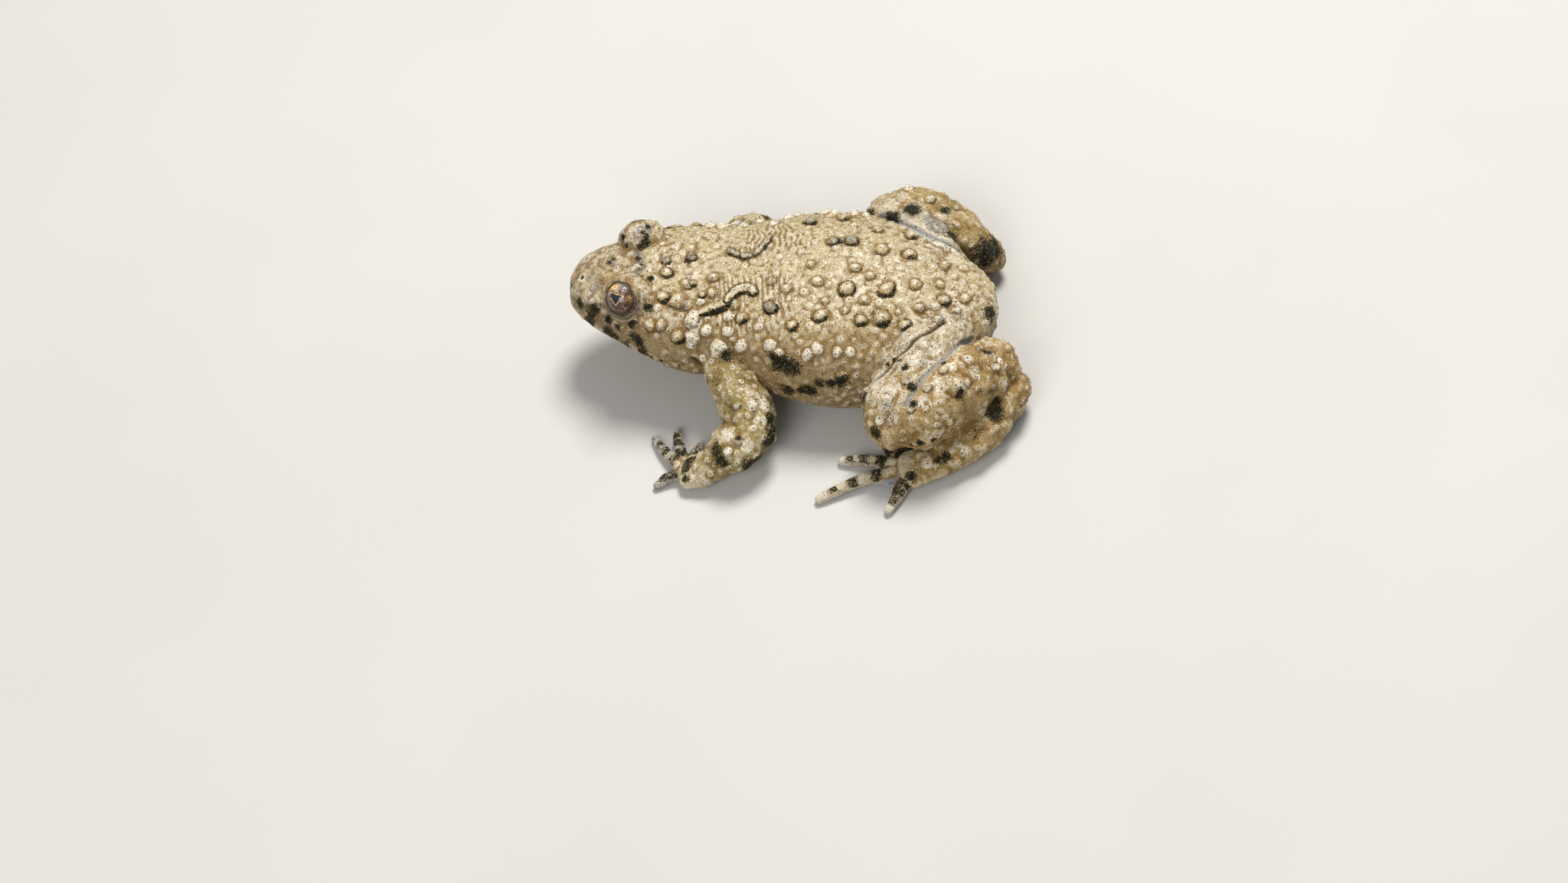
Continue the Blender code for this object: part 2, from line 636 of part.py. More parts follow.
def shank_lofts(side, grow=0.0):
    return [loft("shank", tube_points(LIMBS[f"shank_{side}"], LIMB_GRID, grow))]


def foot_lofts(side):
    tarsus = loft("tarsus", tube_points(LIMBS[f"tarsus_{side}"], LIMB_GRID))
    return [tarsus] + extremity_lofts(f"foot_{side}")


def fuse(name, lofts, voxel):
    """One closed skin around all the lofts."""
    points, faces, start = [], [], 0
    for piece in lofts:
        mesh = piece.data
        points += [tuple(v.co / MM) for v in mesh.vertices]
        faces += [tuple(start + k for k in face.vertices) for face in mesh.polygons]
        start += len(mesh.vertices)
    remove(*lofts)
    mesh = bpy.data.meshes.new(name)
    mesh.from_pydata(np.array(points) * MM, [], faces)
    made = bpy.data.objects.new(name, mesh)
    bpy.context.scene.collection.objects.link(made)
    modifier = made.modifiers.new("fused", "REMESH")
    modifier.mode = "VOXEL"
    modifier.voxel_size = voxel * MM
    apply_modifiers(made)
    keep_largest(made)
    return made


def smooth_skin(made, voxel):
    """Smooths the creases between the lofts, least where the body is thin."""
    points = vertex_array(made)
    thick = (points[:, 2] - THIN_BELOW) / (FULL_ABOVE - THIN_BELOW)
    thick = np.clip(thick, LEAST_SMOOTHING, 1.0)
    group = made.vertex_groups.new(name="thick")
    for k, weight in enumerate(thick):
        group.add([k], float(weight), "REPLACE")
    modifier = made.modifiers.new("smooth", "SMOOTH")
    modifier.factor = 0.5
    modifier.iterations = int(SMOOTHING / voxel**2)
    modifier.vertex_group = "thick"
    apply_modifiers(made)


def skin_of(name, lofts, voxel=VOXEL):
    """The fused and smoothed skin around these lofts."""
    made = fuse(name, lofts, voxel)
    smooth_skin(made, voxel)
    return made


def thin_out(made, triangles):
    """Leaves about this many triangles, and more of them where the surface bends."""
    made.data.calc_loop_triangles()
    modifier = made.modifiers.new("fewer", "DECIMATE")
    modifier.ratio = triangles / len(made.data.loop_triangles)
    apply_modifiers(made)


def kind_of(name):
    """The name of a node without its side."""
    return name.removesuffix("_left").removesuffix("_right")


def slab(name):
    """The thin plate that makes one cut."""
    place, across, wide, high = CUTS[name]
    work = bmesh.new()
    bmesh.ops.create_cube(work, size=2.0)
    size = Matrix.Diagonal(Vector((wide, high, GAP / 2)) * MM)
    bmesh.ops.transform(work, matrix=(facing(across) @ size).to_4x4(), verts=work.verts)
    bmesh.ops.translate(work, vec=Vector(place) * MM, verts=work.verts)
    return object_of(name, work)


def part(made, cuts, names):
    """Makes these cuts, and gives the pieces that are named, each as its own object."""
    cut_away(made, [slab(name) for name in cuts])
    work = bmesh.new()
    work.from_mesh(made.data)
    found = islands(work)
    pieces = {}
    for name in names:
        mark = Vector(MARKS[name]) * MM
        near = min(found, key=lambda faces: min((f.verts[0].co - mark).length for f in faces))
        piece = bmesh.new()
        copies = {vert: piece.verts.new(vert.co) for vert in {v for f in near for v in f.verts}}
        for face in near:
            piece.faces.new([copies[vert] for vert in face.verts])
        pieces[name] = object_of(name, piece)
    work.free()
    remove(made)
    return pieces


def make_eye(head, side):
    """An eyeball in a socket that is open between its lids."""
    place, frame, look = eye_parts(side)
    out = place + look * EYE_STANDS_OUT
    socket = ball("socket", out, [EYE_RADIUS + GAP] * 3, 18, 12, frame)
    slit_place = out + look * EYE_RADIUS - np.array(frame.col[1]) * SLIT_DROP
    slit = ball("slit", slit_place, [EYE_SLIT[0], EYE_SLIT[1], EYE_RADIUS], 20, 9, frame)
    cut_away(head, [socket, slit])
    eye = ball(f"eye_{'left' if side < 0 else 'right'}", out, [EYE_RADIUS] * 3, 16, 12, frame)
    return eye


def clear_of(side, with_shank):
    """The body, and the shank too if asked, grown by the gap, to cut its neighbours with."""
    grow = GAP + CUTTER_MARGIN
    grown = body_lofts(grow)
    if with_shank:
        grown += shank_lofts(side, grow)
    made = skin_of("clear", grown, CUTTER_VOXEL)
    thin_out(made, CUTTER_TRIANGLES)
    return made


def make_body():
    """Trunk, head, arms and thighs, parted by the thin cuts."""
    lofts = body_lofts()
    names = ["torso"]
    for side in ("left", "right"):
        lofts += extremity_lofts(f"hand_{side}")
        names += [f"{kind}_{side}" for kind in ("upper_arm", "forearm", "hand", "thigh")]
    body = skin_of("body", lofts)
    lower_legs = [f"{kind}_{side}" for kind in ("shank", "tarsus") for side in ("left", "right")]
    shape_skin(body, "body", cloud(lower_legs))
    pieces = part(body, ["neck"], ["head", "torso"])
    for name, piece in pieces.items():
        thin_out(piece, TRIANGLES[name])
    cuts = [name for name in CUTS if name != "neck" and not name.startswith("ankle")]
    pieces.update(part(pieces["torso"], cuts, names))
    for side in (-1, 1):
        eye = make_eye(pieces["head"], side)
        pieces[eye.name] = eye
    return pieces


def make_lower_leg(side):
    """The shank, the tarsus and the foot of one side, clear of the body and of each other."""
    shank = skin_of(f"shank_{side}", shank_lofts(side))
    shape_skin(shank, "shank", cloud([f"tarsus_{side}"]))
    thin_out(shank, TRIANGLES["shank"])
    cut_away(shank, [clear_of(side, False)])
    foot = skin_of("foot", foot_lofts(side))
    shape_skin(foot, "foot", cloud([f"shank_{side}"]))
    thin_out(foot, TRIANGLES["foot"])
    cut_away(foot, [clear_of(side, True)])
    pieces = part(foot, [f"ankle_{side}"], [f"tarsus_{side}", f"foot_{side}"])
    return {shank.name: shank, **pieces}


def build():
    remove(*bpy.data.objects)
    made = make_body()
    for side in ("left", "right"):
        made.update(make_lower_leg(side))
    for piece in made.values():
        cut_flat(piece)
        keep_largest(piece)
    shelf = bpy.data.collections.new("fire_bellied_toad")
    bpy.context.scene.collection.children.link(shelf)
    for name, piece in made.items():
        piece.name = name
        colour(piece, SKINS.get(kind_of(name), "limb"))
        piece.data.transform(Matrix.Translation(-Vector(ORIGIN) * MM))
        shelf.objects.link(piece)
        bpy.context.scene.collection.objects.unlink(piece)


build()
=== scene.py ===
"""The looks of a fire bellied toad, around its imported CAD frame.

One skin stands for all the flesh: it is fused from the same lofts as the solids, finer, and then
given its lids, mouth, folds, warts and granules. What each mark is made of goes into attributes
of the skin's points, which its material reads. The spines of the skin and the eyes are pieces of
their own. Sizes and places are in millimetres, in the design's own frame, until place() moves
each piece by ORIGIN and turns it into metres.
"""

import json
import math
from contextlib import contextmanager
from itertools import product

import bmesh
import bpy
import numpy as np
from mathutils import Matrix, Vector
from mathutils.bvhtree import BVHTree
from mathutils.kdtree import KDTree

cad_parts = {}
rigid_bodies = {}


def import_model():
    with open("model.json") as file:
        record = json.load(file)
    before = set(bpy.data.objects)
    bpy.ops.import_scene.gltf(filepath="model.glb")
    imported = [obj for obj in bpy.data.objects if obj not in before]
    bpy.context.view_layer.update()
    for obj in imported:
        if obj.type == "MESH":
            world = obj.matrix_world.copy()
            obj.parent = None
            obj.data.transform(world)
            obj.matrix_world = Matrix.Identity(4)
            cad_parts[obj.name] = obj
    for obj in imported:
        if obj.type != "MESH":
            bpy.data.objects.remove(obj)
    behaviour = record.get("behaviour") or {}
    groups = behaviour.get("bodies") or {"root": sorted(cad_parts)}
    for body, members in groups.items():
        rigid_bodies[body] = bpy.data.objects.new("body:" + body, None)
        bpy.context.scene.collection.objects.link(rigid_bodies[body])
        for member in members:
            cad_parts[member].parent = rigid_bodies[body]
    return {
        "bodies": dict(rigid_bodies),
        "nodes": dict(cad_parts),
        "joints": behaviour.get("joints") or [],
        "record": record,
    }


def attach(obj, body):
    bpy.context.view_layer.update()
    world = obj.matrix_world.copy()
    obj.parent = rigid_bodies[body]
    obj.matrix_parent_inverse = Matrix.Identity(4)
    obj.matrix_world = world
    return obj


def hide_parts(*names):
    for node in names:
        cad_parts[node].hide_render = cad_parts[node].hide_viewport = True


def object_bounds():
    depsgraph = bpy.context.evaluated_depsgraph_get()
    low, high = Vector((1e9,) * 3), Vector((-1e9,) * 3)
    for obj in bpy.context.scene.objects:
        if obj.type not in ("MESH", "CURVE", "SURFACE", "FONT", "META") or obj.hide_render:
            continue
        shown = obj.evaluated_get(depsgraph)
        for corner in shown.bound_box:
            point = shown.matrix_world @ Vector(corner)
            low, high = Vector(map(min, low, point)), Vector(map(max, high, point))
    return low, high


MM = 0.001
ORIGIN = (1.854, -1.668, 0.0)

# The fused skin: how fine, how much smoothed, and the triangles that it keeps
VOXEL = 0.15
SMOOTHING = 0.55
FILLET_KEPT = 0.35
THIN_BELOW = 1.6
FULL_ABOVE = 3.6
LEAST_SMOOTHING = 0.12
SKIN_TRIANGLES = 196000
# A distance beyond all that is looked for, as a share of a radius, and in degrees
FAR_AWAY = 9.0
FAR_OUT = 99.0

# Rings and points of the lofts
TRUNK_GRID = (110, 120)
LIMB_GRID = (26, 40)
DIGIT_GRID = (16, 24)
LID_GRID = (48, 32)
EYE_GRID = (120, 128)
CURVE_STEPS = 24
END_TURNS = (25.0, 50.0, 75.0, 90.0)
FINGER_RADIUS = 0.61
TOE_RADIUS = 0.67
WEB_THICKNESS = 0.42

# The lids are a ball round this place, and the eyeball looks out of it through a round opening
EYE_PLACE = (-15.3, 4.2, 11.9)
LID_RADIUS = 2.55
EYES = {
    "left": {"centre": (-15.59, -4.35, 12.11), "look": (-0.33, -0.585, 0.742)},
    "right": {"centre": (-15.45, 4.4, 11.95), "look": (-0.36, 0.88, 0.3)},
}
EYEBALL_RADIUS = 1.95
# How far the opening reaches from the look, in degrees, and how much farther toward which side
OPENING = 53.0
OPENING_SKEW = (13.0, -25.0)
PUPIL = ((-0.82, 0.10), (0.71, 0.35), (0.29, -0.69))
PUPIL_ROUNDING = 0.05
# The skin is moved this near the eye, and up to so many degrees out from its opening. It dips
# under the eyeball's surface in the opening, and stands over it at the edge and beyond.
LID_REACH = (4.2, 60.0)
LID_DIP = 0.45
LID_EDGE = 0.07
LID_RISE = 0.45
LID_RELIEF = 0.3
# No warts and spines grow this near the eye's middle, this many degrees round its look, fading
BARE_ROUND_EYE = (4.0, 84, 72)
# Folds below the eye: degrees out from the opening, spread, rise
LID_FOLDS = ((6, 3, 0.07), (13, 2.4, -0.09), (19, 3, 0.07), (27, 3, -0.07))

MOUTH_FRONT = (-22.6, 8.35)
MOUTH_CORNER = (-11.9, 6.7)
# The groove of the mouth and the lips: how far over its line, spread, rise
LIPS = ((0.0, 0.13, -0.42), (0.45, 0.3, 0.14), (-0.45, 0.25, 0.1))
CHIN_DRAWN_IN = 0.25
CHIN_HEIGHT = 3.0
NOSTRIL = (-20.9, 12.5)
NOSTRIL_REACH = 1.2
NOSTRIL_DEPTH = 0.42
# Hollows of the face: place, radius, depth
HOLLOWS = (((-19.0, -4.9, 10.0), 1.7, 0.3), ((-19.0, 4.9, 10.0), 1.7, 0.3),
           ((-15.4, 0.0, 13.0), 2.0, 0.22))

# Sections of the trunk from the snout's tip to the vent:
# x, half width, height of the widest level, height of the top, height of the bottom
TRUNK = (
    (-22.9, 0.0, 9.2, 9.2, 9.2),
    (-22.5, 2.0, 8.9, 10.6, 7.2),
    (-21.3, 3.7, 8.5, 11.7, 6.0),
    (-19.0, 5.3, 8.1, 12.5, 5.0),
    (-16.0, 6.8, 7.6, 12.9, 4.3),
    (-13.0, 8.2, 7.1, 13.0, 3.6),
    (-10.0, 9.0, 6.7, 12.7, 3.0),
    (-7.0, 9.3, 6.4, 12.4, 2.4),
    (-3.0, 10.0, 6.1, 12.5, 1.6),
    (2.0, 11.4, 5.7, 12.8, 0.6),
    (7.0, 12.0, 5.3, 12.6, 0.0),
    (12.0, 10.9, 5.0, 11.7, -0.2),
    (16.0, 8.8, 4.9, 10.6, 0.0),
    (19.5, 6.3, 5.1, 9.3, 0.9),
    (21.6, 3.9, 5.6, 8.1, 2.6),
    (22.5, 1.7, 5.8, 7.1, 4.3),
    (22.8, 0.0, 5.9, 5.9, 5.9),
)
TRUNK_SQUARENESS = 2.3

# Sections of the limbs: x, y, z, half width, half height
LIMBS = {
    "upper_arm_left": (
        (-6.4, -5.0, 7.0, 3.1, 3.1), (-4.1, -10.0, 5.9, 2.75, 2.8), (-1.9, -14.2, 4.6, 2.7, 2.6),
    ),
    "forearm_left": (
        (-1.7, -15.2, 3.9, 2.7, 2.5), (-3.6, -17.0, 3.1, 2.7, 2.5), (-6.2, -18.4, 1.7, 1.7, 1.5),
    ),
    "upper_arm_right": (
        (-7.4, 5.0, 6.2, 3.4, 2.8), (-6.3, 9.2, 4.9, 3.0, 2.5), (-5.0, 11.6, 4.4, 2.7, 2.4),
    ),
    "forearm_right": (
        (-5.0, 12.2, 3.9, 2.6, 2.4), (-6.7, 12.5, 3.1, 2.5, 2.3), (-9.0, 12.0, 1.7, 1.7, 1.5),
    ),
    "thigh_left": (
        (17.2, -3.4, 6.2, 3.8, 3.6), (15.4, -8.5, 6.8, 4.0, 3.8), (13.4, -13.2, 6.2, 3.6, 3.6),
    ),
    "shank_left": (
        (13.3, -14.6, 5.8, 3.3, 3.2), (16.2, -13.4, 6.0, 3.9, 4.1), (19.8, -10.1, 5.9, 3.8, 4.1),
        (22.6, -7.3, 5.2, 3.0, 3.3),
    ),
    "tarsus_left": (
        (24.4, -8.2, 3.0, 2.3, 2.3), (22.2, -12.6, 2.2, 2.3, 2.0), (18.7, -16.2, 1.8, 2.0, 1.6),
    ),
    "thigh_right": (
        (16.8, 3.4, 6.0, 3.6, 3.4), (13.4, 8.4, 6.2, 3.9, 3.7), (10.4, 12.0, 5.6, 3.4, 3.4),
    ),
    "shank_right": (
        (10.2, 13.0, 5.0, 3.2, 3.5), (13.2, 13.0, 5.2, 3.7, 4.0), (16.6, 11.6, 4.7, 3.5, 3.6),
        (19.4, 10.2, 3.8, 2.5, 2.6),
    ),
    "tarsus_right": (
        (20.6, 10.8, 2.4, 2.1, 2.0), (17.8, 13.4, 2.1, 2.1, 1.9), (14.7, 15.4, 1.8, 1.9, 1.6),
    ),
}

# Soles and palms: x, y, z, half width, half height
SOLES = {
    "hand_left": ((-6.4, -18.6, 1.4, 1.9, 1.3), (-8.4, -18.6, 1.0, 2.1, 1.0)),
    "hand_right": ((-9.1, 12.0, 1.4, 1.7, 1.3), (-11.2, 11.2, 1.0, 2.0, 1.0)),
    "foot_left": ((18.0, -16.4, 1.5, 1.9, 1.4), (14.6, -17.7, 1.1, 2.3, 1.05)),
    "foot_right": ((14.6, 15.5, 1.5, 1.8, 1.4), (11.2, 15.8, 1.1, 2.3, 1.05)),
}

# Fingers and toes from the innermost out: root x and y, middle x and y, tip x and y
DIGITS = {
    "hand_left": (
        (-8.2, -17.0, -8.0, -15.8, -7.8, -14.7), (-9.1, -17.1, -10.0, -15.0, -10.6, -13.0),
        (-9.6, -17.7, -11.3, -15.9, -12.8, -14.0), (-9.2, -18.8, -10.4, -19.1, -11.6, -20.0),
    ),
    "hand_right": (
        (-10.8, 10.2, -10.6, 9.1, -10.4, 8.2), (-11.8, 10.4, -12.7, 9.4, -13.5, 8.5),
        (-12.4, 10.8, -13.9, 10.3, -15.3, 9.8), (-12.2, 11.8, -13.3, 12.3, -14.4, 12.6),
    ),
    "foot_left": (
        (15.2, -16.4, 14.3, -15.0, 13.6, -13.8), (14.2, -16.4, 12.6, -15.2, 11.4, -14.0),
        (13.6, -16.8, 10.6, -16.3, 7.5, -16.2), (13.2, -17.7, 9.4, -19.1, 5.7, -21.2),
        (14.6, -18.8, 13.8, -20.6, 13.0, -22.3),
    ),
    "foot_right": (
        (11.9, 14.6, 11.1, 13.6, 10.4, 12.8), (10.8, 14.4, 9.4, 13.5, 8.0, 12.8),
        (10.0, 15.0, 7.4, 14.4, 4.6, 14.0), (9.8, 16.2, 6.0, 16.8, 2.0, 17.0),
        (10.6, 17.2, 8.9, 18.2, 7.2, 19.0),
    ),
}
# A digit's axis lies at a share of its radius over the floor, with its middle and root raised,
# and its tip is as wide and as high as these shares of its radius
DIGIT_LEVEL = 0.86
DIGIT_RAISED = (0.25, 0.2)
TIP_LEVEL = 0.8
TIP_SHARES = (0.74, 0.8)
# How far out the web reaches between each pair of toes, as a share of the toes
WEBS = (0.5, 0.5, 0.5, 0.55)
WEB_GRID = (8, 7)
WEB_HOLLOW = 0.35

# Warts of trunk and head, as x, lean from straight up to the right side, radius, by their look
WART_LEVEL = 6.0
WART_HEIGHT = 0.56
WART_REACH = 1.8
# How strong the line round a wart is, where it isn't whole
RIM_STRENGTHS = {"pale": 0.35, "small": 0.35, "tinted": 0.7, "lump": 0.0}
# A point with more of a wart than this stands on it
ON_WART = 0.35
# The lower side of a wart, away from the light of the photo
# Warts and ridges are painted darker, more ochre and more outlined on this side and paler and whiter on the
# other: partly their own pattern, partly painted shade and painted highlight.
DOWNWARD = np.array([0.35, -0.75, -0.55])
WARTS = {
    "blue": (
        (0.0, -41.6, 0.8), (5.6, 28, 0.75), (6.5, 30, 0.5), (7.5, 31, 0.85), (-11.8, 1.5, 0.55),
        (2.5, 51.3, 0.8), (-9.2, 8, 0.65),
    ),
    "ring": (
        (7.8, -25.2, 1.04), (11.8, -22.2, 0.86), (-11.5, -11, 0.7), (-7.4, -32, 0.5),
    ),
    "dark": (
        (6.1, 57.3, 0.8), (-8.6, -20.9, 0.5), (-9.3, 11.8, 0.5), (13.5, 29.8, 0.78), (17.6, -28.9, 0.75),
        (9.5, -49.4, 0.75), (11.5, -48.6, 0.92), (13.8, -54.2, 0.75), (-2.9, -49, 0.75), (5.4, -46.3, 0.75),
        (2.5, -52.6, 0.68), (-11.5, -34, 0.68), (7.8, -78.1, 0.65), (-9.7, -62, 0.72),
    ),
    "ochre": (
        (-0.2, -19, 0.62), (1.5, -25.9, 0.62), (4.7, -18.8, 0.7), (5.7, -35.8, 0.5), (-6.4, -29.3, 0.64),
        (-6.5, -14.3, 0.66), (-4.0, -39, 0.6), (-8.9, -40.1, 0.75), (10.7, 27.8, 0.78), (9.8, 50.1, 0.6),
        (9.9, -7.9, 0.58), (14.5, -10.9, 0.75), (17.0, -4.6, 0.58), (17.2, 33.2, 0.75), (19.6, -21.8, 0.75),
        (15.2, -39.8, 0.66), (9.7, -34.2, 0.65), (13.1, -43.5, 0.5), (7.8, -43, 0.5), (17.2, -49.8, 0.65),
        (18.9, -41.9, 0.5), (-9.9, -37, 1.1), (-12.6, -56, 0.65), (-11.6, -55, 0.65), (-8.1, -51, 0.8),
        (-9.1, -22, 0.72), (-11.6, -14, 0.35), (3.6, 0.6, 0.5), (8.3, -0.6, 0.72),
    ),
    "pale": (
        (-8.0, -52.3, 1.1), (-6.7, -58.3, 0.75), (-8.1, -62.3, 0.85), (-4.4, -48.2, 0.65),
        (-1.1, -54.4, 0.5), (-5.4, -69.2, 1.05), (-7.1, -76.4, 0.6), (-4.4, -58.7, 0.75),
        (-2.9, -66.5, 0.75), (0.2, -64.8, 0.75), (1.2, -68.8, 0.75), (4.3, -67.4, 0.78), (5.2, -65, 0.78),
        (7.3, -66.6, 0.68), (8.6, -67, 0.6), (-7.9, -58, 0.7), (-12.0, -43, 0.5), (-7.5, -38, 0.58),
        (-8.3, -67, 0.65), (-14.7, -5, 0.5), (-15.2, 8, 0.45),
    ),
}
# Long ridges behind the head: x, lean and radius along each, and where it is dark
RIDGES = (
    ("all", ((-5.4, 21, 0.34), (-5.0, 17.5, 0.42), (-4.3, 13.8, 0.34))),
    ("all", ((-4.1, 12.6, 0.34), (-3.5, 11.6, 0.44), (-2.8, 13.0, 0.34))),
    ("all", ((-2.6, 14.2, 0.34), (-2.1, 19.5, 0.4), (-1.7, 26, 0.42), (-1.3, 36, 0.3))),
    ("low", ((-7.2, -46, 0.5), (-6.3, -43.5, 0.65), (-5.3, -41, 0.7), (-4.6, -38, 0.55))),
    ("edge", ((-4.6, -36, 0.5), (-4.1, -30, 0.62), (-3.4, -26, 0.68), (-2.5, -25.5, 0.66),
              (-1.9, -29, 0.5))),
)
RIDGE_HEIGHTS = {"all": 0.26, "low": 0.36, "edge": 0.36}
# Creases between the body and its limbs: depth, half width, look and places along each
CREASES = (
    (0.42, 0.22, "crease", ((17.9, -4.9, 9.9), (16.6, -6.6, 10.4),
                            (15.2, -8.1, 10.5), (14.0, -9.5, 10.3), (12.9, -10.8, 9.9),
                            (12.0, -12.0, 9.3), (11.4, -12.8, 7.8))),
    (0.42, 0.28, "web", ((20.6, -5.0, 7.1), (18.7, -9.2, 9.7), (17.5, -10.9, 10.0),
                         (16.4, -12.5, 10.0), (15.5, -14.3, 9.8), (14.9, -15.5, 9.3))),
    (0.45, 0.32, "web", ((9.4, 10.6, 8.6), (10.8, 9.8, 9.4), (14.0, 7.7, 9.9),
                         (16.9, 6.6, 9.4), (18.9, 6.5, 7.1))),
    (0.3, 0.4, "crease", ((-8.2, -9.4, 8.0), (-7.4, -10.8, 6.2), (-6.6, -11.2, 4.6))),
)
# How many times its half width a crease's colour is, and how dark its middle, in painted shade. The crease
# look is painted shade; the web look lays the webs' pale bluish grey along the crease as a painted
# highlight.
CREASE_LOOKS = {"crease": (0.7, 0.8), "web": (1.15, 0.12)}
# Warts of the limbs: x, y, z, radius, look
LIMB_WARTS = (
    (15.2, -12.7, 9.8, 1.15, "lump"), (19.8, -13.0, 9.5, 1.4, "lump"), (22.6, -8.8, 8.9, 1.1, "lump"),
    (24.1, -10.2, 6.4, 1.0, "lump"), (17.2, -17.1, 6.2, 1.3, "lump"), (12.8, -15.4, 8.9, 1.1, "lump"),
    (12.1, -16.7, 7.8, 0.5, "pale"), (18.4, -11.8, 10.1, 0.5, "ochre"), (20.7, -12.4, 9.3, 0.6, "ochre"),
    (13.0, -14.9, 9.2, 0.62, "ochre"), (16.9, -13.9, 10.0, 0.5, "ochre"), (15.4, -16.0, 9.1, 0.45, "ochre"),
    (19.1, -15.9, 7.1, 0.6, "ochre"), (20.8, -10.0, 9.8, 0.62, "pale"), (23.4, -9.6, 8.2, 0.5, "pale"),
    (21.7, -7.7, 9.1, 0.5, "ochre"), (-3.6, -18.7, 4.9, 0.5, "pale"), (-2.5, -17.8, 5.6, 0.5, "pale"),
    (-0.3, -15.3, 5.7, 0.45, "pale"), (-1.2, -14.3, 7.0, 0.6, "pale"), (-3.1, -14.6, 7.3, 0.5, "ochre"),
    (14.7, 12.8, 9.0, 0.66, "ochre"), (12.2, 14.6, 8.0, 0.6, "pale"), (17.0, 12.4, 7.4, 0.55, "ochre"),
    (-5.4, 13.6, 6.6, 0.5, "pale"), (-4.4, 11.4, 7.4, 0.5, "ochre"),
)
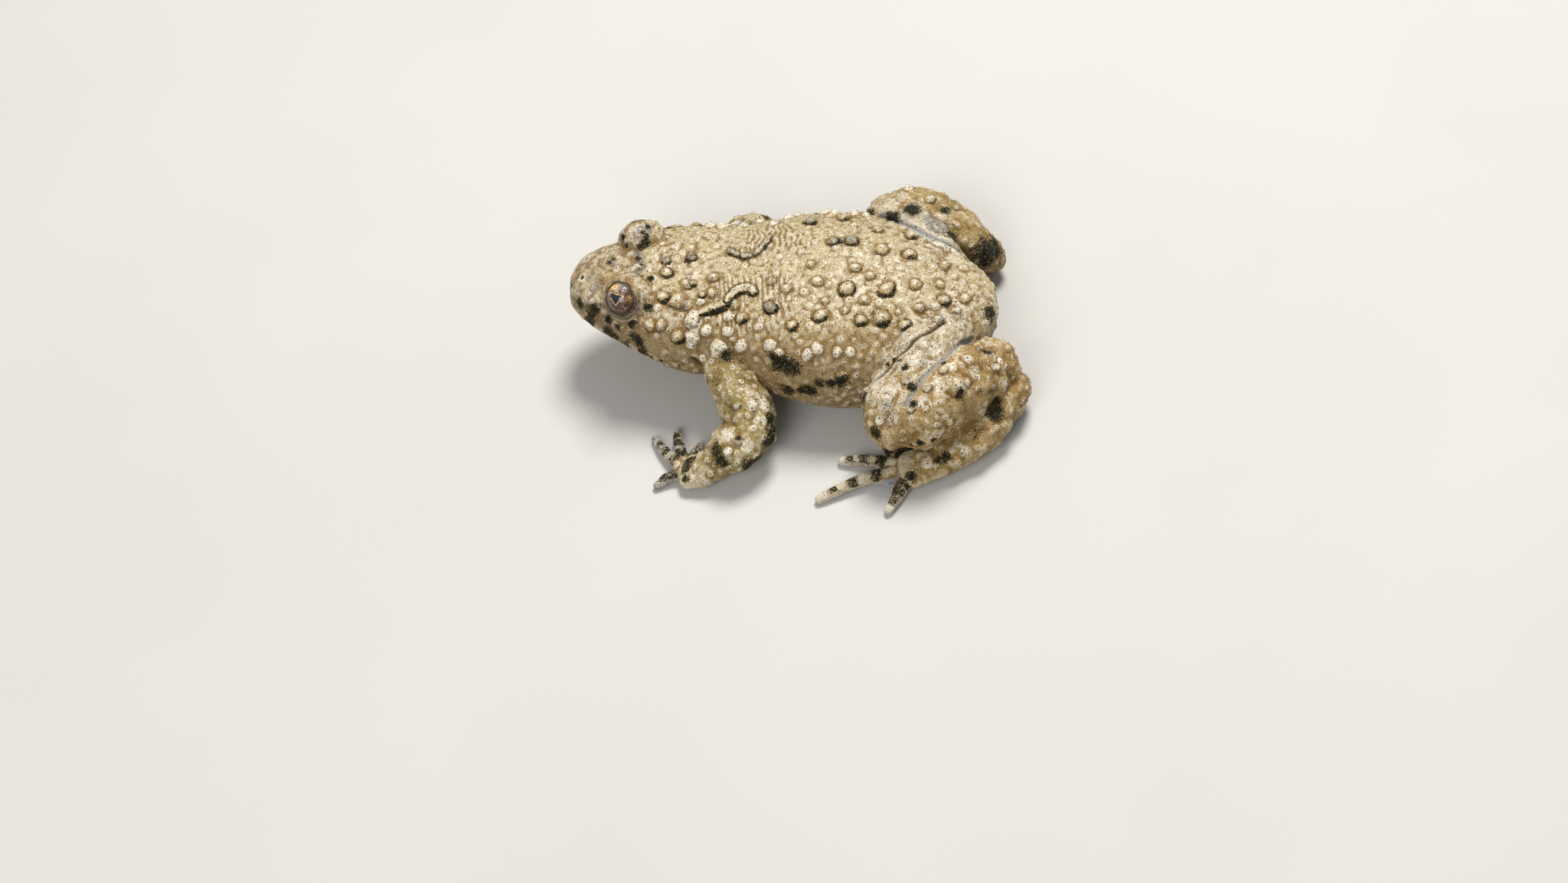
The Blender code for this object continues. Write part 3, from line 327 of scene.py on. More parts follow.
# Marks without relief: x, y, z, radius
MARKS = {
    "dark": (
        (-21.1, -3.5, 10.1, 0.5), (-19.4, -4.5, 10.3, 0.62), (-19.8, -4.6, 9.6, 0.5),
        (-20.1, -4.6, 8.7, 0.6), (-17.7, -5.9, 8.5, 0.65), (-17.2, -6.2, 8.0, 0.55),
        (-17.6, -5.6, 10.1, 0.42), (-16.5, -6.2, 9.7, 0.36), (-14.8, -6.6, 10.5, 0.42),
        (-14.5, -7.3, 9.1, 0.66), (-14.1, -7.6, 8.5, 0.5), (-15.9, -6.8, 7.5, 0.57),
        (-13.9, -7.8, 7.8, 0.5), (-13.0, -8.1, 7.0, 0.4), (-12.1, -8.5, 6.9, 0.3),
        (-22.3, -1.3, 10.6, 0.28), (-12.9, -5.5, 11.9, 0.45), (-14.3, 2.4, 13.4, 0.42),
        (-14.8, 2.0, 13.1, 0.36), (-14.2, 2.9, 13.7, 0.28), (-14.6, 3.2, 14.0, 0.2),
        (-14.2, 3.9, 14.2, 0.2), (-16.8, 3.0, 13.4, 0.3), (-16.4, 2.3, 13.0, 0.25),
        (-14.9, 0.55, 13.0, 0.25), (-14.4, -0.4, 12.9, 0.2), (-17.6, 0.6, 12.7, 0.22),
        (-18.0, 0.1, 12.7, 0.22), (-13.0, -2.3, 12.9, 0.28), (-8.3, -17.6, 1.9, 0.5),
        (-8.4, -18.9, 2.0, 0.5), (-8.3, -18.2, 2.0, 0.5), (-7.6, -17.4, 2.3, 0.45),
        (-9.2, -16.3, 1.5, 0.35), (-8.4, -20.0, 1.8, 0.35), (-4.9, -18.2, 4.9, 0.5),
        (-4.3, -19.3, 4.0, 0.65), (-1.7, -18.9, 3.0, 0.7), (-0.8, -18.1, 2.9, 0.65),
        (-2.5, -17.6, 5.7, 0.3), (0.4, -14.8, 5.5, 0.65), (0.6, -15.7, 4.8, 0.75), (0.4, -16.6, 4.2, 0.75),
        (-4.8, -18.6, 4.5, 0.5), (14.5, -11.5, 10.2, 0.35), (15.3, -13.7, 9.9, 0.4),
        (18.3, -10.8, 10.1, 0.3), (22.4, -8.3, 9.0, 0.4), (20.1, -13.8, 9.0, 0.4), (15.7, -15.5, 9.3, 0.35),
        (16.2, -17.5, 5.8, 0.35), (17.4, -17.1, 6.2, 0.3), (15.3, -17.5, 5.2, 0.25),
        (13.8, -10.7, 10.5, 0.2), (10.4, -13.7, 7.9, 0.5), (12.6, -10.6, 9.5, 0.25),
        (13.2, -10.3, 9.9, 0.2), (-10.7, -13.9, 1.3, 0.4), (-9.0, -15.7, 1.4, 0.35), (-5.6, 9.6, 8.7, 0.7),
        (11.7, -17.2, 6.7, 0.55), (23.3, -12.4, 4.2, 0.8), (23.0, -11.0, 5.0, 0.5),
        (18.6, -17.2, 3.0, 0.55), (17.8, -17.3, 2.7, 0.4), (15.1, -19.0, 1.9, 0.5), (10.8, 9.8, 9.4, 0.82),
        (12.8, 11.1, 9.3, 0.8), (17.4, 8.5, 7.9, 0.82), (15.8, 12.0, 6.5, 0.5), (20.9, 8.8, 5.1, 1.5),
        (21.2, 10.2, 4.4, 1.2), (-4.7, 8.3, 10.2, 0.5), (-3.8, 13.0, 6.2, 0.5), (22.1, -1.7, 7.3, 0.8),
        (1.7, -11.3, 5.9, 0.64), (4.3, -11.8, 6.4, 0.7), (3.4, -11.6, 6.4, 0.5), (5.4, -11.6, 7.6, 0.5),
        (7.8, -11.5, 7.9, 0.63), (6.6, -11.6, 7.6, 0.47), (1.4, -10.3, 9.1, 0.95), (2.2, -10.8, 8.6, 0.6),
        (2.6, -10.7, 8.9, 0.75), (0.7, -10.0, 9.5, 0.6), (-4.4, -9.3, 8.8, 0.6),
    ),
    "grey": (
        (-14.8, 3.4, 14.2, 0.45), (-14.6, 2.9, 13.9, 0.4), (-14.2, 3.9, 14.1, 0.4), (-15.0, 1.0, 13.0, 0.5),
        (-14.6, 0.1, 12.8, 0.5), (-14.3, -0.9, 12.9, 0.4), (-4.7, 8.3, 10.2, 0.9), (-5.2, 10.2, 8.4, 1.1),
        (12.8, 10.8, 9.3, 1.3), (15.6, 9.2, 9.0, 1.5), (17.6, 8.2, 8.0, 0.9), (-11.2, -14.6, 1.5, 0.8),
        (-10.4, -19.5, 1.4, 0.8), (-20.0, -1.8, 12.0, 0.45), (-19.3, -2.8, 11.9, 0.5),
        (-14.8, -1.8, 13.0, 0.5), (-14.9, 3.4, 14.3, 0.4), (-14.0, 3.0, 14.0, 0.5), (-17.6, 0.3, 12.7, 0.5),
        (-15.0, 1.2, 12.9, 0.45), (-9.8, -16.2, 1.6, 0.7), (-9.4, -15.4, 1.6, 0.5),
    ),
    "pale": (
        (-19.8, -3.5, 11.2, 0.6), (-16.0, -2.0, 12.8, 0.7), (-7.5, -19.9, 2.1, 0.3),
        (15.0, -10.6, 10.4, 0.8), (14.4, -9.0, 10.3, 0.9), (16.5, -8.6, 10.6, 0.7),
        (-10.9, -14.5, 1.4, 0.6), (-10.6, -19.4, 1.6, 0.6), (-1.2, -14.3, 7.0, 0.7),
        (-0.3, -15.3, 5.7, 0.5), (20.5, -16.4, 3.1, 0.5), (16.6, -17.7, 2.5, 0.5), (-15.6, 3.4, 14.2, 0.6),
        (18.0, -13.8, 9.8, 0.7), (21.6, -11.2, 9.2, 0.6), (16.8, -15.4, 9.5, 0.6), (13.0, -14.2, 9.5, 0.8),
        (13.5, -16.5, 8.3, 0.6), (23.4, -8.6, 8.4, 0.5), (19.0, -11.3, 10.1, 0.6), (-0.4, -13.6, 6.8, 0.8),
        (-3.7, -17.3, 5.7, 0.6), (-1.7, -17.9, 4.9, 0.6),
    ),
    "ochre": (
        (-13.5, 2.9, 13.1, 0.5), (-15.9, 4.2, 14.2, 0.4), (-13.6, -2.6, 12.9, 0.5),
        (-14.3, -2.2, 13.1, 0.45), (-21.8, -0.4, 11.4, 0.6), (-16.4, -6.6, 8.6, 0.6),
        (-18.0, -2.2, 12.4, 0.5), (-17.0, -1.8, 12.7, 0.5), (-3.1, -14.6, 7.3, 1.2),
        (-6.6, -12.0, 8.2, 1.2), (-2.6, -16.6, 5.9, 0.9), (19.0, -15.6, 7.0, 0.9), (13.4, -12.6, 9.8, 0.8),
        (17.6, -10.9, 10.2, 0.8), (-2.0, -13.0, 4.4, 2.2),
    ),
    "brown": (
        (-17.0, 3.0, 13.3, 0.65), (-16.6, 3.2, 13.8, 0.5), (-16.1, 2.1, 13.0, 0.5), (-18.6, -5.0, 9.4, 1.0),
        (-16.0, -6.6, 9.0, 1.2), (-20.6, -3.4, 9.6, 0.9), (-13.4, -7.2, 9.6, 1.0), (17.3, -17.1, 6.5, 0.8),
        (16.2, -17.0, 7.8, 0.6), (-17.0, 5.9, 12.6, 0.8), (4.6, -11.0, 8.7, 1.2), (14.2, -17.6, 5.4, 0.8),
        (18.4, 9.9, 8.0, 0.9),
    ),
}
# The far side has the near side's warts that lean more than this, and its marks of face and flank:
# x from and to, y and z below. They lie this far forward or back of the near side's.
LOW_LEAN = -54
MIRRORED = ((-99.0, -12.5, -4.4, 10.2), (0.0, 9.0, -9.0, 9.3))
FAR_SHIFT = 0.45
# Ground colours of the limbs: strength, and where it isn't whole the heights from none to all. The pale and
# the grey on the thighs' tops are partly their own colour and partly a painted sheen.
LIMB_COLOURS = (
    ("thigh", "pale", 0.6, 6.5, 9.0), ("thigh", "grey", 0.36, 6.0, 8.0), ("thigh", "ochre", 0.3),
    ("shank", "ochre", 0.72), ("shank", "brown", 0.6, 7.2, 5.6), ("tarsus", "ochre", 0.6),
    ("tarsus", "brown", 0.85), ("upper_arm", "arm", 1.0), ("upper_arm", "ochre", 0.45),
    ("upper_arm", "olive", 1.0), ("forearm", "arm", 1.0), ("forearm", "ochre", 0.45),
    ("forearm", "olive", 1.0),
)
# Dark bands across the digits, as shares of their length
DIGIT_BANDS = (0.24, 0.55, 0.8)
BAND_WIDTH = 0.032
# The tip's look and strength, how bluish the digit is, and how dark its bands: fingers, then toes
DIGIT_LOOKS = {True: ("dark", 0.25, 0.7, 0.72), False: ("pale", 0.7, 0.2, 0.85)}
# All that is marked on the skin
SKIN_MARKS = (
    "wart", "dark", "ochre", "pale", "grey", "brown", "olive", "belly", "web", "fold", "wet", "hole",
    "line", "crease", "cap", "lilac", "arm",
)

# Small warts at random between those: how many, their radii, how far apart, and where not
SEED = 11
SMALL_WARTS = 150
SMALL_RADII = (0.3, 0.55)
SMALL_HEIGHT = 0.3
WART_STRETCH = (0.72, 1.2)
WART_SPACING = 1.08
WARTS_BEHIND = -18.5
WARTS_ABOVE = 2.6
# Spines: how far apart on the skin and on a wart, and the shares of that which chance gives,
# behind which x they begin, over how many millimetres, and above which height
SPINE_SPACING = 0.9
SPINE_SPACING_ON_WART = 0.46
SPINE_SPREAD = (0.8, 1.3)
SPINES_BEHIND = (-17.5, 4)
SPINES_ABOVE = 2.4
# The radius of a spine's tip and foot, its height, the shares of its size, its sides, and the
# direction that its first side faces
SPINE_TIP = 0.07
SPINE_BASE = 0.11
SPINE_HEIGHT = 0.05
SPINE_SIZES = (0.6, 1.25)
SPINE_SIDES = 7
SPINE_UP = (0.1, 0.2, 0.97)
# Each spine stands on a little swelling of the skin: its radii and heights, and both on a wart
SWELL_RADII = (0.3, 0.56)
SWELL_HEIGHTS = (0.03, 0.17)
SWELL_ON_WART = (0.3, 0.05)
# The skin's finest relief, its broader one, and how much more of that the limbs have
GRAIN_HEIGHT = 0.15
SWELL_HEIGHT = 0.14
LIMB_SWELL_HEIGHT = 0.4
WRINKLE_LENGTH = 0.6
WRINKLE_HEIGHT = 0.06
# How deep a hollow counts as whole, for the painted shade in hollows and the painted highlight on raised
# points, and how many rings of points round each it is measured over
CAVITY_DEPTH = 0.05
CAVITY_ROUNDS = 6

# Colours, linear
CREAM = (0.63, 0.55, 0.365)
PALE_GREY = (0.61, 0.54, 0.42)
BEIGE = (0.45, 0.35, 0.18)
OLIVE = (0.29, 0.25, 0.08)
OCHRE = (0.41, 0.26, 0.07)
BROWN = (0.24, 0.14, 0.035)
WHITE = (0.78, 0.71, 0.57)
GREY = (0.27, 0.265, 0.24)
BLACK_GREEN = (0.006, 0.006, 0.002)
GREY_GREEN = (0.045, 0.045, 0.015)
YELLOW = (0.78, 0.42, 0.04)
SLATE = (0.045, 0.055, 0.065)
WEB = (0.43, 0.46, 0.48)
DARK_OLIVE = (0.045, 0.034, 0.015)
TAN = (0.37, 0.275, 0.12)
LILAC = (0.25, 0.185, 0.145)
# Painted shade: the black in the mouth's groove, the nostrils and the gap round the eyeballs
PIT_SHADE = (0.012, 0.010, 0.008)
HORN = (0.012, 0.009, 0.006)
LIGHT_HORN = (0.045, 0.03, 0.018)
# The metals of the iris, dim and bright, and the painted reflection of the sky on its top, dim and bright
COPPER = ((0.11, 0.045, 0.02), (0.52, 0.29, 0.15))
GOLD = ((0.5, 0.22, 0.03), (0.95, 0.62, 0.17))
SKY_REFLECTION = ((0.24, 0.17, 0.14), (0.62, 0.52, 0.46))
IRIS_DARK = (0.022, 0.010, 0.006)
IRIS_SHADE = (0.018, 0.009, 0.006)
IRIS_SEAM = (0.012, 0.008, 0.006)
# Painted shade on the iris's edge under the lids
IRIS_LID_SHADE = (0.02, 0.012, 0.008)
PUPIL_RIM = (0.85, 0.66, 0.32)
PUPIL_BLACK = (0.012, 0.015, 0.022)
FLOOR_DIM = (0.36, 0.35, 0.325)
FLOOR_LIGHT = (0.40, 0.39, 0.365)
# The skin's colours are deepened by this power, then made this much lighter
DEEPEN = 1.25
LIGHTEN = (1.2, 1.23, 1.29)

# The floor's reach in millimetres, and the lights: name, place in metres, size, power, colour
FLOOR_REACH = 3000.0
LIT_PLACE = (0.0, 0.0, 0.006)
LIGHTS = (
    ("sky", (0.08, 0.28, 0.5), 0.22, 5.6, (1.0, 0.98, 0.95)),
    ("side", (-0.12, -0.45, 0.38), 0.35, 2.6, (1.0, 1.0, 1.0)),
)
WORLD_COLOUR = (0.95, 0.97, 1.0)
WORLD_STRENGTH = 0.42

# The camera that was fitted to the photo: degrees, millimetres, and pixels of the photo
CAMERA = {"elevation": 51.29, "azimuth": 17.02, "roll": -12.04, "across": -0.85, "up": -10.67,
          "distance": 257.72, "focal": 3100.0}
PICTURE_WIDTH = 2048
SENSOR = 36.0


def spline(rows, count):
    """Rows spread evenly along the smooth curve through these rows."""
    rows = np.asarray(rows, float)
    held = np.vstack([2 * rows[0] - rows[1], rows, 2 * rows[-1] - rows[-2]])
    share = np.linspace(0, 1, CURVE_STEPS, endpoint=False)[:, None]
    fine = [
        0.5 * (2 * b + (c - a) * share + (2 * a - 5 * b + 4 * c - d) * share**2
               + (3 * b - a - 3 * c + d) * share**3)
        for a, b, c, d in zip(held, held[1:], held[2:], held[3:])
    ]
    fine = np.vstack(fine + [rows[-1:]])
    run = np.r_[0, np.cumsum(np.linalg.norm(np.diff(fine, axis=0), axis=1))]
    at = np.linspace(0, run[-1], count)
    return np.column_stack([np.interp(at, run, column) for column in fine.T])


def unit(vectors):
    return vectors / np.maximum(np.linalg.norm(vectors, axis=-1, keepdims=True), 1e-9)


def trunk_sections(count):
    """Centre, side, up, half width, reach up and reach down of each section of the trunk."""
    x, wide, level, top, bottom = spline(TRUNK, count).T
    centre = np.column_stack([x, 0 * x, level])
    side = np.tile([0.0, 1.0, 0.0], (count, 1))
    up = np.tile([0.0, 0.0, 1.0], (count, 1))
    wide, top, bottom = (np.maximum(v, 0) for v in (wide, top - level, level - bottom))
    return centre, side, up, wide, top, bottom


def limb_sections(rows, count):
    """The same for a limb, with a rounded end at each of its two ends."""
    rows = spline(rows, count)
    along = unit(np.gradient(rows[:, :3], axis=0))
    turns = np.radians(END_TURNS)[:, None]
    ends = []
    for end, way in ((0, -1), (-1, 1)):
        reach = min(rows[end, 3:])
        middles = rows[end, :3] + way * along[end] * reach * np.sin(turns)
        ends.append(np.column_stack([middles, rows[end, 3:] * np.cos(turns)]))
        ends[-1][-1, 3:] = 0.0
    rows = np.vstack([ends[0][::-1], rows, ends[1]])
    along = along[np.clip(np.arange(-len(turns), count + len(turns)), 0, count - 1)]
    side = unit(np.cross(along, [0.0, 0.0, 1.0]))
    return rows[:, :3], side, np.cross(side, along), rows[:, 3], rows[:, 4], rows[:, 4]


def ring_points(sections, around, squareness=2.0):
    """Points of each section, from the top round by its side, as sections x around x 3."""
    centre, side, up, wide, top, bottom = sections
    turn = np.linspace(0, 2 * math.pi, around, endpoint=False)
    sine, cosine = np.sin(turn), np.cos(turn)
    power = 2 / squareness
    across = np.sign(sine) * np.abs(sine) ** power
    rise = np.sign(cosine) * np.abs(cosine) ** power
    reach = np.where(rise[None] > 0, top[:, None], bottom[:, None]) * rise[None]
    return (centre[:, None] + side[:, None] * (wide[:, None] * across)[..., None]
            + up[:, None] * reach[..., None])


def tube_points(rows, grid):
    """Points of a limb or digit, as sections x around x 3."""
    return ring_points(limb_sections(rows, grid[0]), grid[1])


def add_object(name, mesh):
    made = bpy.data.objects.new(name, mesh)
    bpy.context.scene.collection.objects.link(made)
    return made


@contextmanager
def edited(made):
    """The object's mesh as a bmesh, which is written back afterwards."""
    work = bmesh.new()
    work.from_mesh(made.data)
    yield work
    work.to_mesh(made.data)
    work.free()


def object_from(name, points, faces):
    """A new object with these points, in millimetres, and these faces."""
    mesh = bpy.data.meshes.new(name)
    mesh.from_pydata(np.asarray(points) * MM, [], faces)
    return add_object(name, mesh)


def turn_outward(made):
    with edited(made) as work:
        bmesh.ops.recalc_face_normals(work, faces=work.faces)
    return made


def modify(made, kind, **settings):
    """Replaces the object's mesh by what one modifier makes of it."""
    modifier = made.modifiers.new(kind, kind)
    for key, value in settings.items():
        setattr(modifier, key, value)
    graph = bpy.context.evaluated_depsgraph_get()
    mesh = bpy.data.meshes.new_from_object(made.evaluated_get(graph))
    made.modifiers.clear()
    old = made.data
    made.data = mesh
    bpy.data.meshes.remove(old)


def array_of(items, name, width, kind=float):
    values = np.empty(len(items) * width, kind)
    items.foreach_get(name, values)
    return values.reshape(-1, width)


def vertex_array(made):
    return array_of(made.data.vertices, "co", 3) / MM


def normal_array(made):
    return array_of(made.data.vertices, "normal", 3)


def edge_ends(made):
    return array_of(made.data.edges, "vertices", 2, int).T


def set_vertices(made, points):
    made.data.vertices.foreach_set("co", (points * MM).ravel())
    made.data.update()


def store(made, looks):
    """Puts values for each point on the object, for its material to read."""
    for name, values in looks.items():
        layer = made.data.attributes.new(name, "FLOAT", "POINT")
        layer.data.foreach_set("value", np.asarray(values, np.float32))


def loft(name, rings):
    """A closed object through these rings, whose first and last are single points."""
    count, around = rings.shape[:2]
    points = np.vstack([rings[0, :1], rings[1:-1].reshape(-1, 3), rings[-1, :1]])
    last = len(points) - 1
    faces = []
    for k in range(around):
        j = (k + 1) % around
        faces.append((0, 1 + j, 1 + k))
        for r in range(count - 3):
            a = 1 + r * around
            faces.append((a + k, a + j, a + around + j, a + around + k))
        faces.append((last, last - around + k, last - around + j))
    return turn_outward(object_from(name, points, faces))


def facing(direction, along=(0.0, 0.0, 1.0)):
    """A 3 x 3 array whose columns are across, up and this direction."""
    forward = unit(np.array(direction, float))
    upward = unit(np.array(along) - forward * np.dot(forward, along))
    return np.column_stack([np.cross(upward, forward), upward, forward])


def ramp(value, low, high):
    """0 below low and 1 above high, or the other way round where high is the lower."""
    share = np.clip((value - low) / (high - low), 0, 1)
    return share * share * (3 - 2 * share)


def bump(distance, middle, spread):
    return np.exp(-(((distance - middle) / spread) ** 2))


def noise(points, size, seed):
    """Smooth noise from 0 to 1 with features of this size."""
    table = np.random.default_rng(seed).random(4096)
    cell = points / size + 1000.0
    base = np.floor(cell).astype(np.int64)
    part = cell - base
    part = part * part * (3 - 2 * part)
    total = np.zeros(len(points))
    for corner in range(8):
        step = np.array([corner & 1, corner >> 1 & 1, corner >> 2 & 1])
        at = base + step
        key = (at[:, 0] * 73856093 ^ at[:, 1] * 19349663 ^ at[:, 2] * 83492791) & 4095
        weight = np.prod(np.where(step, part, 1 - part), axis=1)
        total += weight * table[key]
    return total


class Near:
    """Finds the points of a cloud that lie close to a place."""

    def __init__(self, points):
        self.tree = KDTree(len(points))
        for k, point in enumerate(points):
            self.tree.insert(point, k)
        self.tree.balance()

    def within(self, place, radius):
        """Which points are closer than radius, and how far each is."""
        found = self.tree.find_range(place, radius)
        return np.array([f[1] for f in found], int), np.array([f[2] for f in found])


class Apart:
    """Takes places one after another that keep their distance from those it took before.

    It looks for those in cells of this size, which is more than any distance to keep.
    """

    def __init__(self, size):
        self.size = size
        self.cells = {}

    def take(self, place, radius):
        cell = tuple(int(c // self.size) for c in place)
        for step in product((-1, 0, 1), repeat=3):
            for other, reach in self.cells.get(tuple(map(sum, zip(cell, step))), ()):
                if sum((a - b) ** 2 for a, b in zip(place, other)) < (reach + radius) ** 2:
                    return False
        self.cells.setdefault(cell, []).append((tuple(place), radius))
        return True


def keep_most(values, index, new):
    values[index] = np.maximum(values[index], new)


class Marks(dict):
    """How much of each mark every point of the skin shows, mostly from 0 to 1."""

    def add(self, index=slice(None), **marks):
        """Each of these points keeps the most that it was given of each mark."""
        for name, value in marks.items():
            keep_most(self[name], index, value)


def place_on(tree, x, lean):
    """The point of the skin at this x, seen along the trunk at this lean from straight up."""
    out = Vector((0.0, math.sin(math.radians(lean)), math.cos(math.radians(lean))))
    axis = Vector((x, 0.0, WART_LEVEL)) * MM
    return np.array(tree.ray_cast(axis + out, -out)[0]) / MM


def place_near(tree, place):
    """The point of the skin that is closest to this place."""
    return np.array(tree.find_nearest(Vector(place) * MM)[0]) / MM


def digit_rows(digit, radius):
    """A finger or toe lies on the floor, and its middle is raised a little."""
    x0, y0, x1, y1, x2, y2 = digit
    low = radius * DIGIT_LEVEL
    root, middle = DIGIT_RAISED
    return (
        (x0, y0, low + root, radius, radius), (x1, y1, low + middle, radius, radius),
        (x2, y2, low * TIP_LEVEL, radius * TIP_SHARES[0], radius * TIP_SHARES[1]),
    )


def web_grid(first, second, share):
    """Points of a web between two toes, out to a share of their length, with a hollow edge."""
    steps, across = WEB_GRID
    a, b = (spline(rows, round((steps - 1) / share) + 1)[:steps, :3] for rows in (first, second))
    blend = np.linspace(0, 1, across)[None, :, None]
    sheet = a[:, None] * (1 - blend) + b[:, None] * blend
    hollow = WEB_HOLLOW * np.sin(np.linspace(0, math.pi, across))[None, :, None]
    shrink = np.linspace(0, 1, steps)[:, None, None] * hollow
    return sheet * (1 - shrink) + sheet[:1] * shrink


def web_sheet(sheet):
    """The web as a thin closed sheet."""
    steps, across = sheet.shape[:2]
    faces = [(r * across + c, r * across + c + 1, (r + 1) * across + c + 1, (r + 1) * across + c)
             for r in range(steps - 1) for c in range(across - 1)]
    made = turn_outward(object_from("web", sheet.reshape(-1, 3), faces))
    modify(made, "SOLIDIFY", thickness=WEB_THICKNESS * MM, offset=0.0)
    return made


def digit_tables():
    """Each digit's rows, and each web's points, over all hands and feet."""
    rows, webs = [], []
    for name, digits in DIGITS.items():
        foot = name.startswith("foot")
        here = [digit_rows(digit, TOE_RADIUS if foot else FINGER_RADIUS) for digit in digits]
        rows += here
        if foot:
            webs += [web_grid(a, b, share) for a, b, share in zip(here, here[1:], WEBS)]
    return rows, webs


def all_lofts():
    trunk = trunk_sections(TRUNK_GRID[0])
    lofts = [loft("trunk", ring_points(trunk, TRUNK_GRID[1], TRUNK_SQUARENESS))]
    lofts += [loft(name, tube_points(rows, LIMB_GRID)) for name, rows in (LIMBS | SOLES).items()]
    rows, webs = digit_tables()
    lofts += [loft("digit", tube_points(row, DIGIT_GRID)) for row in rows]
    lofts += [web_sheet(sheet) for sheet in webs]
    x, y, z = EYE_PLACE
    across, up = LID_GRID
    for side in (-1, 1):
        lofts.append(add_object("lids", bpy.data.meshes.new("lids")))
        with edited(lofts[-1]) as work:
            bmesh.ops.create_uvsphere(work, u_segments=across, v_segments=up, radius=LID_RADIUS * MM)
            bmesh.ops.translate(work, vec=Vector((x, side * y, z)) * MM, verts=work.verts)
    return lofts


def fuse(name, lofts):
    """One closed skin around all the lofts, smoothed least where the body is thin.

    Also how far each of its points stands out of the creases that the smoothing filled.
    """
    points, faces, start = [], [], 0
    for piece in lofts:
        points.append(vertex_array(piece))
        faces += [tuple(start + k for k in face.vertices) for face in piece.data.polygons]
        start += len(points[-1])
        bpy.data.objects.remove(piece)
    made = object_from(name, np.vstack(points), faces)
    modify(made, "REMESH", mode="VOXEL", voxel_size=VOXEL * MM)
    keep_largest(made)
    raw = BVHTree.FromObject(made, bpy.context.evaluated_depsgraph_get())
    height = vertex_array(made)[:, 2]
    thick = np.clip((height - THIN_BELOW) / (FULL_ABOVE - THIN_BELOW), LEAST_SMOOTHING, 1.0)
    group = made.vertex_groups.new(name="thick")
    for k, weight in enumerate(thick):
        group.add([k], float(weight), "REPLACE")
    modify(made, "SMOOTH", factor=0.5, iterations=int(SMOOTHING / VOXEL**2), vertex_group="thick")
    made.vertex_groups.clear()
    filled = []
    for vertex in made.data.vertices:
        near, normal = raw.find_nearest(vertex.co)[:2]
        filled.append((vertex.co - near).dot(normal) / MM)
    return made, np.array(filled)


def keep_largest(made):
    """Drops every closed surface but the one with the most points."""
    a, b = edge_ends(made)
    label = np.arange(len(made.data.vertices))
    while True:
        low = np.minimum(label[a], label[b])
        new = label.copy()
        np.minimum.at(new, a, low)
        np.minimum.at(new, b, low)
        new = new[new]
        if (new == label).all():
            break
        label = new
    lost = np.flatnonzero(label != np.bincount(label).argmax())
    if len(lost):
        with edited(made) as work:
            work.verts.ensure_lookup_table()
            bmesh.ops.delete(work, geom=[work.verts[k] for k in lost], context="VERTS")


def cut_flat(made):
    """Cuts off all that lies below the floor, and closes the skin there."""
    with edited(made) as work:
        whole = work.verts[:] + work.edges[:] + work.faces[:]
        bmesh.ops.bisect_plane(
            work, geom=whole, dist=1e-8, plane_co=(0, 0, 0), plane_no=(0, 0, -1), clear_outer=True,
        )
        rim = [edge for edge in work.edges if edge.is_boundary]
        bmesh.ops.holes_fill(work, edges=rim, sides=0)
        bmesh.ops.triangulate(work, faces=work.faces[:])


def limb_share(points, name):
    """1 on this limb and 0 away from it."""
    best = np.full(len(points), FAR_AWAY)
    for x, y, z, wide, high in spline(LIMBS[name], 14):
        best = np.minimum(best, np.linalg.norm(points - (x, y, z), axis=1) / ((wide + high) / 2))
    return ramp(best, 1.3, 1.0)


def mouth_rise(points):
    """The groove of the mouth, the two lips along it, and the chin drawn in below them."""
    x, z = points[:, 0], points[:, 2]
    front, corner = MOUTH_FRONT, MOUTH_CORNER
    slope = (corner[1] - front[1]) / (corner[0] - front[0])
    over = z - front[1] - slope * (x - front[0])
    rise = sum(height * bump(over, middle, spread) for middle, spread, height in LIPS)
    rise -= CHIN_DRAWN_IN * ramp(over, 0.1, -0.3) * ramp(over, -CHIN_HEIGHT, -1.0)
    here = ramp(x, corner[0] + 0.4, corner[0] - 0.8) * ramp(np.abs(points[:, 1]), 11, 10)
    return rise * here, over, here


def wrinkle_rise(points, lean):
    """Fine folds that run across the neck and the shoulders, and how deep each point is in one."""
    x = points[:, 0]
    bend = 0.9 * noise(points, 2.4, SEED + 1) + 0.5 * noise(points, 1.1, SEED + 2)
    wave = np.sin(2 * math.pi * (x + bend + 0.02 * lean) / WRINKLE_LENGTH)
    where = ramp(np.abs(x + 2.0), 6.0, 3.0) * ramp(np.abs(lean), 5, 20)
    where *= ramp(np.abs(lean), 66, 52)
    patchy = ramp(noise(points, 1.8, SEED + 3), 0.3, 0.6)
    return WRINKLE_HEIGHT * where * patchy * wave, where * (0.3 + 0.7 * patchy)


def opening_edge(turn):
    """How far from its look an eye's opening reaches, in degrees, at this turn round it."""
    skew, toward = OPENING_SKEW
    return OPENING + skew * np.clip(np.cos(np.radians(turn - toward)), 0, 1) ** 1.5


